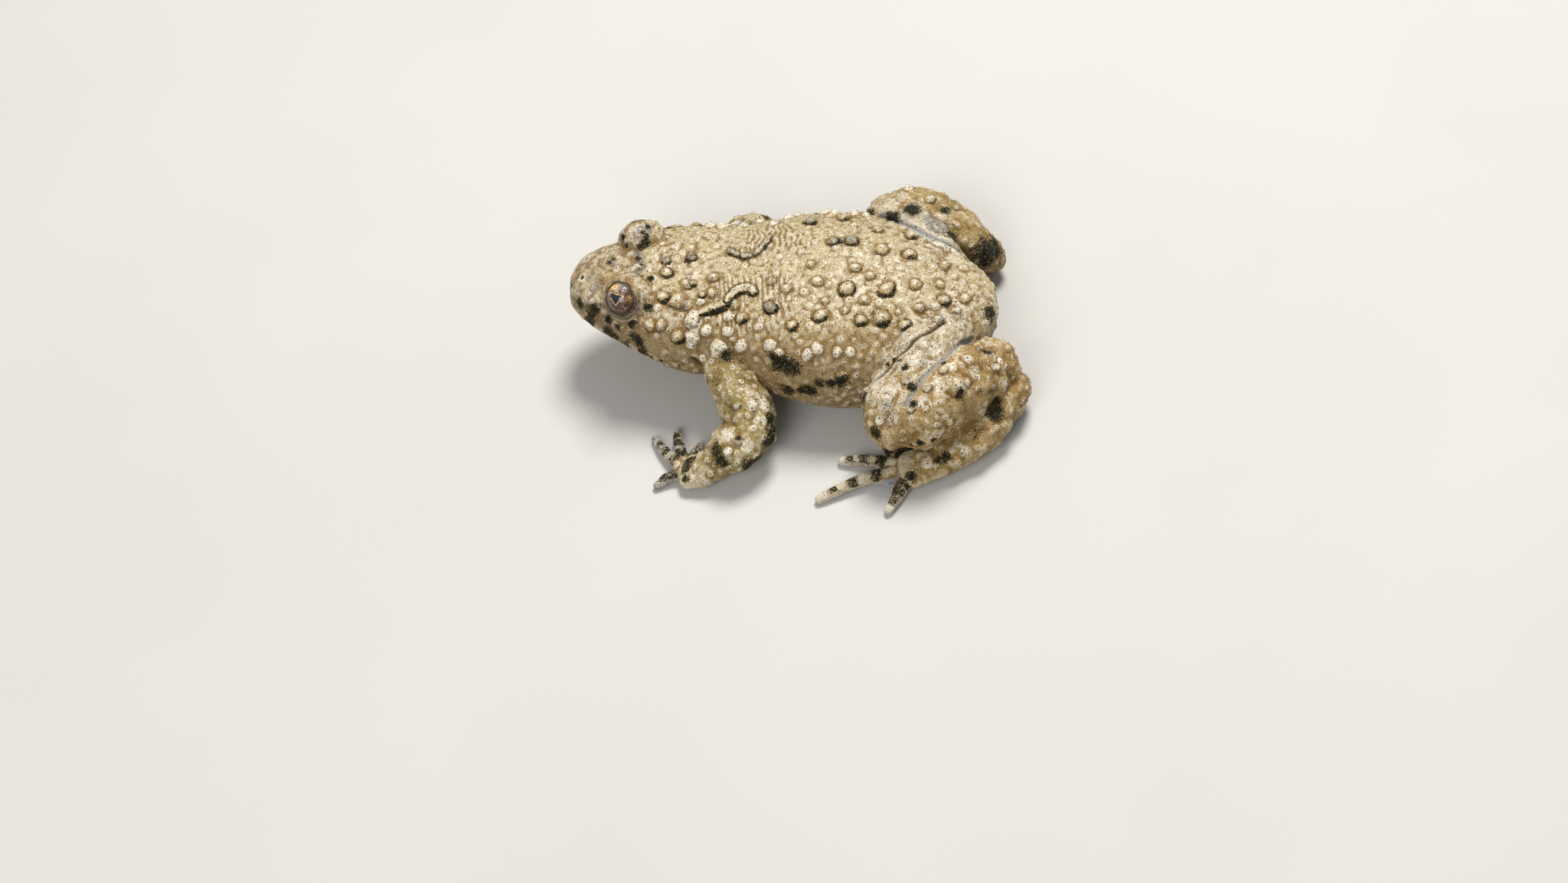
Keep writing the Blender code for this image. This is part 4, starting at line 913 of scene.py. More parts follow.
def eye_lids(points, side):
    """Moves the skin round an eye so that its lids hug the eyeball. Gives the new points, how many
    degrees out from the opening each is, and 1 below and behind the eye to 0 above it."""
    centre, frame = np.array(EYES[side]["centre"]), facing(EYES[side]["look"])
    local = (points - centre) @ frame
    far = np.linalg.norm(local, axis=1)
    angle = np.degrees(np.arccos(np.clip(local[:, 2] / np.maximum(far, 1e-6), -1, 1)))
    turn = np.degrees(np.arctan2(local[:, 1], local[:, 0]))
    out = angle - opening_edge(turn)
    near = (far < LID_REACH[0]) & (out < LID_REACH[1])
    target = EYEBALL_RADIUS - LID_DIP + (LID_DIP + LID_EDGE) * ramp(out, -7, 1)
    target += LID_RISE * ramp(out, 2, 26)
    below = ramp(0.5 + 0.5 * np.cos(np.radians(turn + 60)), 0.15, 0.75)
    bent = out + 16 * (noise(points, 0.8, SEED + 7) - 0.5)
    folds = sum(height * bump(bent, middle, spread) for middle, spread, height in LID_FOLDS)
    folds *= below * ramp(noise(points, 1.2, SEED), 0.3, 0.6)
    folds += LID_RELIEF * (1 - 0.4 * below) * (noise(points, 0.4, SEED + 8) - 0.5)
    blend = ramp(out, 3, 38)
    new = target * (1 - blend) + far * blend + folds * ramp(out, 0, 5) * ramp(out, LID_REACH[1], 40)
    moved = centre + unit(local) @ frame.T * new[:, None]
    return np.where(near[:, None], moved, points), np.where(near, out, FAR_OUT), below


def near_opening(points):
    """1 in the openings of the eyes and close round them, 0 elsewhere."""
    share = np.zeros(len(points))
    reach, *fade = BARE_ROUND_EYE
    for eye in EYES.values():
        local = points - np.array(eye["centre"])
        far = np.linalg.norm(local, axis=1)
        angle = np.degrees(np.arccos(np.clip(local @ unit(np.array(eye["look"])) / far, -1, 1)))
        share = np.maximum(share, ramp(angle, *fade) * (far < reach))
    return share


def cavity(made, points, normals):
    """How much deeper each point is than those around it, in millimetres."""
    a, b = edge_ends(made)
    size = len(points)
    count = np.bincount(a, minlength=size) + np.bincount(b, minlength=size)
    mean = points.copy()
    for k in range(CAVITY_ROUNDS):
        total = [np.bincount(a, row[b], size) + np.bincount(b, row[a], size) for row in mean.T]
        mean = np.column_stack(total) / np.maximum(count, 1)[:, None]
    return ((mean - points) * normals).sum(1)


def wart_list(tree):
    """Every named wart as its place, radius and look. The far side has the near side's low ones."""
    warts = []
    for look, rows in WARTS.items():
        hidden = [(x - FAR_SHIFT, -lean, radius) for x, lean, radius in rows if lean < LOW_LEAN]
        warts += [(place_on(tree, x, lean), radius, look) for x, lean, radius in (*rows, *hidden)]
    return warts + [(place_near(tree, place), radius, look) for *place, radius, look in LIMB_WARTS]


def small_warts(points, bare, named):
    """Small warts at random between the named ones."""
    draw = np.random.default_rng(SEED)
    apart = Apart(3.0)
    for place, radius, look in named:
        apart.take(place, radius * WART_SPACING)
    found = []
    for k in draw.permutation(np.flatnonzero(~bare)):
        radius = draw.uniform(*SMALL_RADII)
        if apart.take(points[k], radius * WART_SPACING):
            found.append((points[k].copy(), radius, draw.choice(["small", "small", "tinted"])))
        if len(found) == SMALL_WARTS:
            break
    return found


def raise_warts(points, near, warts, looks):
    """How far the warts raise the skin, and their colours."""
    rise = np.zeros(len(points))
    down = unit(DOWNWARD)
    wobble = 0.5 * (noise(points, 0.8, SEED + 6) - 0.5)
    broken = 0.5 + noise(points, 0.6, SEED + 13)
    draw = np.random.default_rng(SEED + 14)
    for place, radius, look in warts:
        axis, stretch = unit(draw.normal(size=3)), draw.uniform(*WART_STRETCH)
        index, away = near.within(place, radius * WART_REACH)
        offset = points[index] - place
        away = np.sqrt(away**2 + (stretch**2 - 1) * (offset @ axis) ** 2)
        share = away / radius * (1 + wobble[index])
        lower = offset @ down / radius + 0.6 * wobble[index]
        dome = np.clip(1 - share**2, 0, 1) ** 1.25
        low = look in ("small", "tinted", "lump")
        keep_most(rise, index, (SMALL_HEIGHT if low else WART_HEIGHT) * radius * dome)
        strength = RIM_STRENGTHS.get(look, 1.0)
        # The ochre edge, the dark line and the dark patches are stronger on the side away from the light,
        # and the white cap and the paleness lie on the lit side: partly the wart's own pattern, partly
        # painted shade and painted highlight.
        edge = ramp(share, 1.15, 0.85) * (0.75 * ramp(share, 0.2, 0.75) + 0.45 * ramp(lower, -0.3, 0.5))
        looks.add(
            index, wart=dome, ochre=strength * edge,
            cap=0.85 * ramp(share, 0.65, 0.15) * ramp(lower, 0.6, 0.0),
            line=strength * bump(share, 0.95, 0.16) * (0.25 + 0.8 * ramp(lower, -0.3, 0.5)),
        )
        if look == "pale":
            looks.add(index, pale=ramp(share, 1.15, 0.7) * ramp(lower, 0.9, 0.3))
        if look == "dark":
            looks.add(index, dark=ramp(share, 1.2, 0.9) * ramp(lower, 0.2, 0.75))
            looks.add(index, dark=0.5 * bump(share, 0.95, 0.16))
        if look in ("ring", "blue"):
            ring = bump(share, 0.9, 0.2) * (0.5 + 0.6 * ramp(lower, -0.4, 0.5))
            looks.add(index, dark=ring * broken[index])
        if look == "blue":
            looks.add(index, grey=0.9 * ramp(share, 1.0, 0.6))
    return rise


def raise_ridges(points, near, tree, looks):
    """The long ridges of the shoulders, with their black edges."""
    rise = np.zeros(len(points))
    down = unit(DOWNWARD)
    for look, rows in RIDGES:
        line = spline([(*place_on(tree, x, lean), radius) for x, lean, radius in rows], 60)
        if look == "all":
            line[:, 3] *= 0.72 + 0.4 * np.abs(np.sin(np.linspace(0, 2 * math.pi, len(line))))
        best = np.full(len(points), FAR_AWAY)
        lower = np.zeros(len(points))
        for x, y, z, radius in line:
            index, away = near.within((x, y, z), radius * WART_REACH)
            share = away / radius
            closer = share < best[index]
            index = index[closer]
            best[index] = share[closer]
            lower[index] = (points[index] - (x, y, z)) @ down / radius
        dome = np.clip(1 - best**2, 0, 1)
        rise = np.maximum(rise, RIDGE_HEIGHTS[look] * dome**1.1)
        # The black edges are darker on the side away from the light: partly their own pattern, partly
        # painted shade.
        if look == "all":
            dark = bump(best, 0.95, 0.4) * (0.55 + 0.45 * ramp(lower, -0.3, 0.5))
            looks.add(grey=0.6 * ramp(best, 1.2, 0.7))
        elif look == "low":
            dark = ramp(best, 1.25, 0.95) * ramp(lower, 0.1, 0.5)
        else:
            dark = ramp(best, 1.3, 1.0) * ramp(best, 0.5, 0.8)
            dark *= 0.6 + 0.4 * ramp(lower, -0.2, 0.3)
            looks.add(pale=0.6 * ramp(best, 0.8, 0.4))
        looks.add(wart=dome, dark=dark)
    return rise


def carve_creases(points, near, tree, looks):
    """The creases where limbs lie against the body."""
    rise = np.zeros(len(points))
    for depth, width, look, rows in CREASES:
        best = np.full(len(points), FAR_AWAY)
        for place in spline(rows, 70):
            index, away = near.within(place_near(tree, place), 3 * width)
            best[index] = np.minimum(best[index], away)
        rise -= depth * bump(best, 0, width)
        # The dark middle is painted shade, and so is a crease look; a web look is a painted highlight band
        # in the webs' colour.
        wide, dark = CREASE_LOOKS[look]
        looks.add(**{look: 0.85 * bump(best, 0, wide * width)})
        looks.add(crease=dark * bump(best, 0, 0.3 * width))
    return rise


def spine_places(points, normals, looks, to_opening):
    """Which points carry a spine, closest together on the warts."""
    draw = np.random.default_rng(SEED + 9)
    first, over = SPINES_BEHIND
    free = (points[:, 0] > first + over * draw.random(len(points))) & (points[:, 2] > SPINES_ABOVE)
    free &= (normals[:, 2] > -0.25) & (to_opening < 0.3) & (looks["hole"] < 0.05)
    apart = Apart(2.0)
    chosen = []
    order = draw.permutation(np.flatnonzero(free))
    for on_wart, spacing in ((True, SPINE_SPACING_ON_WART), (False, SPINE_SPACING)):
        for k in order[(looks["wart"][order] > ON_WART) == on_wart]:
            if apart.take(points[k], spacing * draw.uniform(*SPINE_SPREAD) / 2):
                chosen.append(k)
    return np.array(chosen)


def raise_swells(points, near, spines, looks):
    """The little swelling under each spine, pale round the spine."""
    draw = np.random.default_rng(SEED + 12)
    rise = np.zeros(len(points))
    for k in spines:
        share = draw.random() ** 2
        reach = SWELL_RADII[0] + share * (SWELL_RADII[1] - SWELL_RADII[0])
        height = SWELL_HEIGHTS[0] + share * (SWELL_HEIGHTS[1] - SWELL_HEIGHTS[0])
        if looks["wart"][k] > ON_WART:
            reach, height = SWELL_ON_WART
        index, away = near.within(points[k], 1.3 * reach)
        keep_most(rise, index, height * np.clip(1 - (away / reach) ** 2, 0, 1))
        # The cap is partly the skin's own pale ring round the spine and partly a painted highlight on the
        # swelling's top, whiter on the taller swellings.
        white = (0.5 + 0.5 * share) * (1 + looks["arm"][k])
        looks.add(index, cap=white * ramp(away / reach, 0.75, 0.3))
    return rise


def far_marks(rows):
    """The marks of the near face and flank once more, for the far side that the photo hides."""
    return [(x + FAR_SHIFT, -y, z, radius) for x, y, z, radius in rows
            if any(low < x < high and y < side and z < top for low, high, side, top in MIRRORED)]


def paint_marks(near, tree, looks):
    for look, rows in MARKS.items():
        for *place, radius in (*rows, *far_marks(rows)):
            index, away = near.within(place_near(tree, place), radius * 2)
            looks.add(index, **{look: ramp(away / radius, 2.0, 0.35)})


def paint_digits(points, near, looks):
    """Dark bands and pale tips on the digits, and the colour of the webs between the toes."""
    rows, webs = digit_tables()
    for sheet in webs:
        for place in sheet.reshape(-1, 3):
            index, away = near.within(place, 0.75)
            looks.add(index, web=ramp(away, 0.75, 0.4))
    for k, digit in enumerate(rows):
        line = spline(digit, 30)
        finger = digit[0][3] == FINGER_RADIUS
        tip_look, tip_strength, skin_strength, band_strength = DIGIT_LOOKS[finger]
        for j, row in enumerate(line):
            share = j / (len(line) - 1)
            index, away = near.within(row[:3], row[3] * 1.5)
            over = ramp(away, row[3] * 1.5, row[3] * 1.1)
            looks["web"][index] *= 1 - over
            looks.add(index, **{tip_look: tip_strength * over * ramp(share, 0.84, 0.95)})
            looks.add(index, web=skin_strength * over * ramp(share, 0.1, 0.4))
            top = over * ramp(points[index, 2], 0.7, 1.2)
            for band in DIGIT_BANDS:
                here = bump(share + 0.03 * ((k * 7) % 5 - 2), band, BAND_WIDTH)
                looks.add(index, dark=band_strength * here * top)


def paint_regions(points, normals, lean, shares, looks):
    """The ground colours of flank, limbs, face and belly."""
    x, y, z = points.T
    trunk = ramp(np.abs(x - 1), 22, 17)
    flank = ramp(-lean, 46, 62) * trunk * ramp(z, 2.0, 4.0) * ramp(np.abs(y), 14.5, 12.5)
    foot = ramp(x, 13.5, 16.0) * ramp(z, 4.5, 3.0)
    face = ramp(x, -13.5, -16.5) * (0.35 + 0.35 * ramp(z, 11.0, 8.5))
    looks.add(brown=0.8 * flank)
    looks.add(brown=0.6 * foot, ochre=0.6 * foot)
    looks.add(brown=face, lilac=0.5 * ramp(x, -12.0, -15.0), belly=ramp(normals[:, 2], -0.42, -0.8))
    looks.add(olive=0.6 * ramp(y, 3.5, 9.0) * trunk)
    # The pale and grey tops of the thighs are partly their own colour and partly a painted sheen.
    for limb, look, strength, *height in LIMB_COLOURS:
        for side in EYES:
            here = strength * shares[f"{limb}_{side}"]
            looks.add(**{look: here * ramp(z, *height) if height else here})


def shape_face(points, near, tree, looks):
    """How far the mouth, the hollows of the face and the nostrils raise the skin."""
    rise, over, here = mouth_rise(points)
    # Painted shade in the groove of the mouth.
    looks.add(hole=0.8 * here * bump(over, 0.0, 0.1), wet=here * bump(over, -0.2, 0.9))
    looks.add(pale=0.6 * here * bump(over, 0.6, 0.4))
    for place, radius, depth in HOLLOWS:
        index, away = near.within(place, radius)
        rise[index] -= depth * ramp(away, radius, 0.0)
    for side in (-1, 1):
        place = place_on(tree, NOSTRIL[0], side * NOSTRIL[1])
        index, away = near.within(place, NOSTRIL_REACH)
        rise[index] += 0.13 * bump(away, 0.42, 0.18) - NOSTRIL_DEPTH * ramp(away, 0.26, 0.05)
        # Painted shade in the pit of the nostril.
        looks.add(index, hole=ramp(away, 0.22, 0.12), pale=0.9 * bump(away, 0.42, 0.16))
    return rise


def shape_lids(points, looks):
    for side in EYES:
        points, out, below = eye_lids(points, side)
        # Painted shade in the fold below the eye and in the opening round the eyeball; the dark line at the
        # lid's edge is partly its own colour, partly painted shade.
        looks.add(
            brown=0.85 * ramp(out, 34, 4), lilac=ramp(out, 32, 12) * (0.15 + 0.75 * below),
            crease=0.4 * bump(out, 13, 2.5) * below, line=1.5 * bump(out, 0, 6),
            hole=ramp(out, 0.5, -3), wet=0.35 * ramp(out, 5, 0),
            ochre=0.7 * ramp(out, 34, 10) * (1 - below),
        )
    return points


def shape_skin(made, filled):
    """Gives the fused skin its face, folds, warts and relief, and its colours as attributes.

    Gives back where its spines stand, and which way each points.
    """
    points, normals = vertex_array(made), normal_array(made)
    tree = BVHTree.FromObject(made, bpy.context.evaluated_depsgraph_get())
    looks = Marks({name: np.zeros(len(points)) for name in SKIN_MARKS})
    lean = np.degrees(np.arctan2(points[:, 1], points[:, 2] - WART_LEVEL))
    near = Near(points)
    shares = {name: limb_share(points, name) for name in LIMBS}
    limbs = np.maximum.reduce(list(shares.values()))
    paint_regions(points, normals, lean, shares, looks)

    filled = np.maximum(filled, 0)
    # Painted shade where the smoothing filled the creases.
    looks.add(crease=ramp(filled, 0.1, 0.5))
    rise = shape_face(points, near, tree, looks) - (1 - FILLET_KEPT) * filled
    folds, fold_depth = wrinkle_rise(points, lean)
    looks.add(fold=fold_depth)

    warts = wart_list(tree)
    to_opening = near_opening(points)
    bare = (normals[:, 2] < -0.15) | (points[:, 2] < WARTS_ABOVE)
    bare |= (points[:, 0] < WARTS_BEHIND) | (to_opening > 0)
    warts += small_warts(points, bare, warts)
    wart_rise = raise_warts(points, near, warts, looks)
    wart_rise = np.maximum(wart_rise, raise_ridges(points, near, tree, looks))
    spines = spine_places(points, normals, looks, to_opening)
    wart_rise += raise_swells(points, near, spines, looks)
    paint_marks(near, tree, looks)
    paint_digits(points, near, looks)
    rise += folds + wart_rise + carve_creases(points, near, tree, looks)
    grain = noise(points, 0.5, SEED + 4) - 0.5
    swell = noise(points, 1.3, SEED + 5) - 0.5
    calm = ramp(points[:, 2], 0.3, 1.5) * (1 - 0.6 * looks["web"])
    relief = GRAIN_HEIGHT * grain + (SWELL_HEIGHT + LIMB_SWELL_HEIGHT * limbs) * swell
    rise += calm * relief * (1 - 0.7 * to_opening)
    # On the limbs the raised lumps are paler and the dips browner and darker: partly the skin's own colour,
    # partly painted highlight on the lumps and painted shade in the dips.
    low = calm * limbs * ramp(swell, 0.02, -0.15)
    looks.add(pale=0.42 * calm * limbs * ramp(swell, 0.0, 0.25), brown=0.95 * low)
    looks.add(dark=0.2 * low * ramp(points[:, 2], 1.5, 3.0))

    points = shape_lids(points + normals * rise[:, None], looks)
    set_vertices(made, points)
    normals = normal_array(made)
    # How hollow each point is, which the material paints as shade in the hollows and as highlight on the
    # raised points.
    looks["hollow"] = np.clip(cavity(made, points, normals) / CAVITY_DEPTH, -1, 1) * (1 - 0.75 * to_opening)
    store(made, looks)
    return points[spines], normals[spines]


def make_skin(low, high):
    """The skin and where its spines stand, both inside the CAD model's box."""
    made, filled = fuse("skin", all_lofts())
    places, ways = shape_skin(made, filled)
    made.data.calc_loop_triangles()
    modify(made, "DECIMATE", ratio=min(1.0, SKIN_TRIANGLES / len(made.data.loop_triangles)))
    cut_flat(made)
    low, high = (np.array(corner) / MM + np.array(ORIGIN) for corner in (low, high))
    set_vertices(made, np.clip(vertex_array(made), low, high))
    smooth_shaded(made)
    tips = places + ways * SPINE_HEIGHT * SPINE_SIZES[1]
    inside = ((tips > low) & (tips < high)).all(axis=1)
    return made, places[inside], ways[inside]


def smooth_shaded(made):
    made.data.polygons.foreach_set("use_smooth", np.ones(len(made.data.polygons), bool))
    made.data.update()


def make_spines(points, normals):
    """Small horny spines, several on every wart: three rings below one point."""
    sizes = np.random.default_rng(SEED + 10).uniform(*SPINE_SIZES, len(points))
    turn = np.linspace(0, 2 * math.pi, SPINE_SIDES, endpoint=False)
    rings = ((SPINE_TIP * 0.7, SPINE_HEIGHT * 0.8), (SPINE_TIP, SPINE_HEIGHT * 0.3), (SPINE_BASE, -0.05))
    shape = [(0.0, 0.0, SPINE_HEIGHT)]
    shape += [(c * radius, s * radius, height) for radius, height in rings
              for c, s in zip(np.cos(turn), np.sin(turn))]
    faces = []
    for j in range(SPINE_SIDES):
        n = (j + 1) % SPINE_SIDES
        faces.append((0, 1 + j, 1 + n))
        for a in (1, 1 + SPINE_SIDES):
            faces.append((a + j, a + SPINE_SIDES + j, a + SPINE_SIDES + n, a + n))
    last = len(shape) - SPINE_SIDES
    faces.append(tuple(range(last + SPINE_SIDES - 1, last - 1, -1)))
    all_points = [point + np.array(shape) * size @ facing(normal, SPINE_UP).T
                  for point, normal, size in zip(points, normals, sizes)]
    all_faces = [tuple(start + k for k in face)
                 for start in range(0, len(points) * len(shape), len(shape)) for face in faces]
    made = object_from("spines", np.vstack(all_points), all_faces)
    from_tip = np.repeat([0.0, *(radius for radius, height in rings)], [1] + [SPINE_SIDES] * len(rings))
    store(made, {"from_tip": np.tile(from_tip, len(points))})
    smooth_shaded(made)
    return made


def make_eye(side):
    """An eyeball whose pole is its look, with its pupil and iris as attributes."""
    eye = EYES[side]
    polar = np.linspace(0, math.pi, EYE_GRID[0])[:, None]
    turn = np.linspace(0, 2 * math.pi, EYE_GRID[1], endpoint=False)
    local = np.stack([np.sin(polar) * np.cos(turn), np.sin(polar) * np.sin(turn),
                      np.cos(polar) + 0 * turn], axis=2) * EYEBALL_RADIUS
    made = loft(f"eyeball_{side}", local @ facing(eye["look"]).T + np.array(eye["centre"]))
    x, y, depth = np.vstack([local[0, :1], local[1:-1].reshape(-1, 3), local[-1, :1]]).T
    corners = np.array(PUPIL) * ((1, 1) if side == "left" else (-1, 1))
    edges = []
    for a, b in zip(corners, np.roll(corners, -1, axis=0)):
        out = unit(np.array([b[1] - a[1], a[0] - b[0]]))
        out *= -np.sign((corners.mean(0) - a) @ out)
        edges.append((x - a[0]) * out[0] + (y - a[1]) * out[1])
    outside = PUPIL_ROUNDING * np.log(np.exp(np.array(edges) / PUPIL_ROUNDING).sum(0)) - 0.03
    front = depth > 0
    above_front = ramp(y, 0.1, 0.9) * ramp(x, 0.5, -0.6)
    behind = 0.7 * bump(np.hypot(x - 1.35, y - 0.45), 0, 0.3)
    away = np.degrees(np.arctan2(np.hypot(x, y), depth))
    from_edge = away - opening_edge(np.degrees(np.arctan2(y, x)))
    store(made, {
        "pupil": ramp(outside, 0.03, -0.03) * front,
        "rim": bump(outside, 0.06, 0.026) * front,
        "gold": np.maximum(above_front, behind),
        "shade": bump(np.hypot(x - 0.75, y - 0.05), 0, 0.4),
        # Painted reflection of the sky over the top of the iris
        "sky_reflection": ramp(y, 0.35, 0.75) * ramp(np.abs(x - 0.1), 0.9, 0.3),
        "seam": bump(x - 0.34 - 0.12 * y, 0, 0.07) * ramp(y, -0.5, -0.75) * front,
        # Painted shade on the eyeball's edge where it goes under the lids
        "lid_shade": ramp(from_edge, -15, -2),
    })
    smooth_shaded(made)
    return made


class Look:
    """A material, with short calls that add nodes to it."""

    def __init__(self, name):
        self.material = bpy.data.materials.new(name)
        self.material.use_nodes = True
        self.tree = self.material.node_tree
        self.shader = self.tree.nodes["Principled BSDF"]
        here = self.node("ShaderNodeTexCoord", "Object", {}, {})
        # The object's own coordinates in millimetres
        self.here = self.node("ShaderNodeVectorMath", 0, {"operation": "SCALE"}, {0: here, 3: 1 / MM})

    def put(self, socket, value):
        if isinstance(value, bpy.types.NodeSocket):
            self.tree.links.new(value, socket)
        elif socket.type == "RGBA":
            socket.default_value = (*value, 1.0)
        else:
            socket.default_value = value

    def node(self, kind, output, settings, inputs):
        made = self.tree.nodes.new(kind)
        for key, value in settings.items():
            setattr(made, key, value)
        for key, value in inputs.items():
            self.put(made.inputs[key], value)
        return made.outputs[output]

    def set(self, **inputs):
        for name, value in inputs.items():
            self.put(self.shader.inputs[name.replace("_", " ")], value)

    def value(self, name):
        return self.node("ShaderNodeAttribute", "Fac", {"attribute_name": name}, {})

    def noise(self, scale, detail=2.0, roughness=0.5, stretch=None):
        here = self.here
        if stretch:
            here = self.node("ShaderNodeVectorMath", 0, {"operation": "MULTIPLY"}, {0: here, 1: stretch})
        inputs = {"Vector": here, "Scale": scale, "Detail": detail, "Roughness": roughness}
        return self.node("ShaderNodeTexNoise", 0, {}, inputs)

    def cell_edges(self, scale):
        return self.node("ShaderNodeTexVoronoi", "Distance", {"feature": "DISTANCE_TO_EDGE"},
                         {"Vector": self.here, "Scale": scale})

    def math(self, operation, a, b=0.0):
        return self.node("ShaderNodeMath", 0, {"operation": operation}, {0: a, 1: b})

    def times(self, a, b):
        return self.math("MULTIPLY", a, b)

    def plus(self, a, b):
        return self.math("ADD", a, b)

    def minus(self, a, b):
        return self.math("SUBTRACT", a, b)

    def step(self, value, low, high, top=1.0):
        """0 where value is under low and top where it is over high."""
        inputs = {"Value": value, "From Min": low, "From Max": high, "To Min": 0.0, "To Max": top}
        return self.node("ShaderNodeMapRange", 0, {"interpolation_type": "SMOOTHSTEP"}, inputs)

    def mark(self, name, ragged, low, high, top=1.0):
        """The same for one of the object's own marks, whose edge this noise makes ragged."""
        return self.step(self.plus(self.value(name), ragged), low, high, top)

    def mix(self, share, a, b, blend="MIX"):
        settings = {"data_type": "RGBA", "blend_type": blend}
        return self.node("ShaderNodeMix", 2, settings, {0: share, 6: a, 7: b})

    def over(self, col, layers):
        """The colour with these layers over it, the last one on top: share and colour of each."""
        for share, colour in layers:
            col = self.mix(share, col, colour)
        return col

    def bump(self, height, distance, strength=1.0, normal=None):
        inputs = {"Height": height, "Distance": distance, "Strength": strength}
        if normal is not None:
            inputs["Normal"] = normal
        return self.node("ShaderNodeBump", 0, {}, inputs)


def skin_look():
    look = Look("toad_skin")
    mottle = look.noise(1.15, 5.0, 0.62)
    fine = look.noise(3.6, 4.0, 0.7)
    grit = look.noise(9.0, 3.0, 0.7)
    specks = look.noise(6.3, 3.0, 0.75)
    gaps = look.plus(look.cell_edges(3.4), look.times(look.minus(grit, 0.5), 0.5))
    veins = look.noise(1.5, 3.0, 0.6, (2.2, 0.8, 0.8))
    veins = look.math("ABSOLUTE", look.minus(veins, 0.5))
    streaks = look.noise(1.2, 3.0, 0.6, (3.4, 0.5, 0.5))
    speckle = look.minus(fine, 0.5)
    patch = look.minus(mottle, 0.5)
    uneven = look.plus(look.times(patch, 1.8), speckle)

    brown = look.mark("brown", uneven, 0.2, 0.9)
    ochre = look.mark("ochre", uneven, 0.35, 0.6)
    lilac = look.mark("lilac", uneven, 0.3, 0.8, 0.8)
    grey = look.mark("grey", look.times(uneven, 0.6), 0.25, 0.9)
    grey = look.times(grey, look.step(fine, 0.36, 0.56, 0.85))
    bright = look.minus(1.0, look.times(look.math("MAXIMUM", ochre, brown), 0.65))
    hollow = look.value("hollow")
    col = look.over(CREAM, (
        (look.step(look.noise(0.4, 3.0), 0.4, 0.6, 0.6), PALE_GREY),
        (look.step(mottle, 0.5, 0.6, 0.5), BEIGE),
        (look.times(brown, 0.85), BROWN),
        (look.times(ochre, 0.85), OCHRE),
        (look.times(ochre, look.step(specks, 0.52, 0.6, 0.6)), BROWN),
        (look.times(look.value("olive"), look.step(mottle, 0.3, 0.6, 0.85)), OLIVE),
        (look.times(bright, look.step(fine, 0.51, 0.6, 0.65)), WHITE),
        (look.step(fine, 0.48, 0.39, 0.6), TAN),
        (look.step(veins, 0.03, 0.008, 0.6), OCHRE),
        (look.times(look.value("fold"), look.step(streaks, 0.54, 0.64, 0.5)), DARK_OLIVE),
        (look.step(gaps, 0.13, 0.03, 0.4), TAN),
        # Pale caps of warts and swellings: partly their own colour, partly painted highlight on their tops
        # and lit sides.
        (look.mark("cap", speckle, 0.35, 0.95, 0.65), WHITE),
        (look.times(look.mark("pale", uneven, 0.35, 0.8), look.step(fine, 0.35, 0.5, 0.92)), WHITE),
        (lilac, LILAC),
        (look.times(lilac, look.step(fine, 0.5, 0.58, 0.7)), BROWN),
        # Dark lines round warts, stronger on the side away from the light, and at the lids' edges: partly
        # their own colour, partly painted shade.
        (look.mark("line", uneven, 0.3, 0.75, 0.85), DARK_OLIVE),
        # Painted shade: browner in hollows. Painted highlight: whiter on raised points.
        (look.step(hollow, 0.05, 0.8, 0.8), BROWN),
        (look.step(hollow, -0.2, -0.9, 0.35), WHITE),
        (look.step(grit, 0.55, 0.63, 0.55), BROWN),
        (look.step(grit, 0.45, 0.37, 0.35), WHITE),
        (grey, GREY),
        (look.times(grey, look.step(specks, 0.52, 0.6, 0.6)), GREY_GREEN),
        # Painted shade in creases and folds.
        (look.value("crease"), DARK_OLIVE),
    ))
    col = look.node("ShaderNodeGamma", 0, {}, {0: col, 1: DEEPEN})
    col = look.mix(1.0, col, LIGHTEN, "MULTIPLY")

    blotches = look.plus(look.noise(0.34, 5.0, 0.6), look.times(speckle, 0.35))
    belly = look.over(YELLOW, (
        (look.step(blotches, 0.49, 0.54), SLATE),
        (look.step(grit, 0.6, 0.66, 0.35), WHITE),
        (look.step(gaps, 0.13, 0.03, 0.35), DARK_OLIVE),
    ))
    blackish = look.over(BLACK_GREEN, (
        (look.step(grit, 0.55, 0.62), GREY_GREEN),
        (look.step(fine, 0.56, 0.64, 0.6), OLIVE),
    ))
    ragged = look.times(look.minus(specks, 0.5), 3.2)
    ragged = look.plus(ragged, look.times(uneven, 0.8))
    dark = look.mark("dark", ragged, 0.46, 0.56)
    look.set(Base_Color=look.over(col, (
        (look.mark("belly", patch, 0.4, 0.6), belly),
        # Webs and digits in their bluish grey, which some creases also carry as a painted highlight.
        (look.value("web"), look.mix(look.step(fine, 0.4, 0.65), WEB, GREY)),
        (look.mark("dark", look.times(ragged, 0.7), 0.15, 0.55, 0.6), BROWN),
        (dark, blackish),
        # Painted shade in the mouth's groove, the nostrils and round the eyeballs.
        (look.value("hole"), PIT_SHADE),
    )))

    rough = look.minus(0.58, look.times(look.value("wet"), 0.3))
    look.set(Roughness=look.plus(rough, look.times(grit, 0.12)), Specular_IOR_Level=0.15)
    look.set(Subsurface_Weight=0.08, Subsurface_Scale=0.0004, Subsurface_Radius=(1.0, 0.55, 0.3))
    look.set(Coat_Weight=look.step(dark, 1.0, 0.0, 0.2), Coat_Roughness=0.22)
    relief = look.bump(look.step(gaps, 0.0, 0.3), 0.00012, 0.8)
    relief = look.bump(fine, 0.00035, 0.9, relief)
    look.set(Normal=look.bump(grit, 0.0001, 0.9, relief))
    return look.material


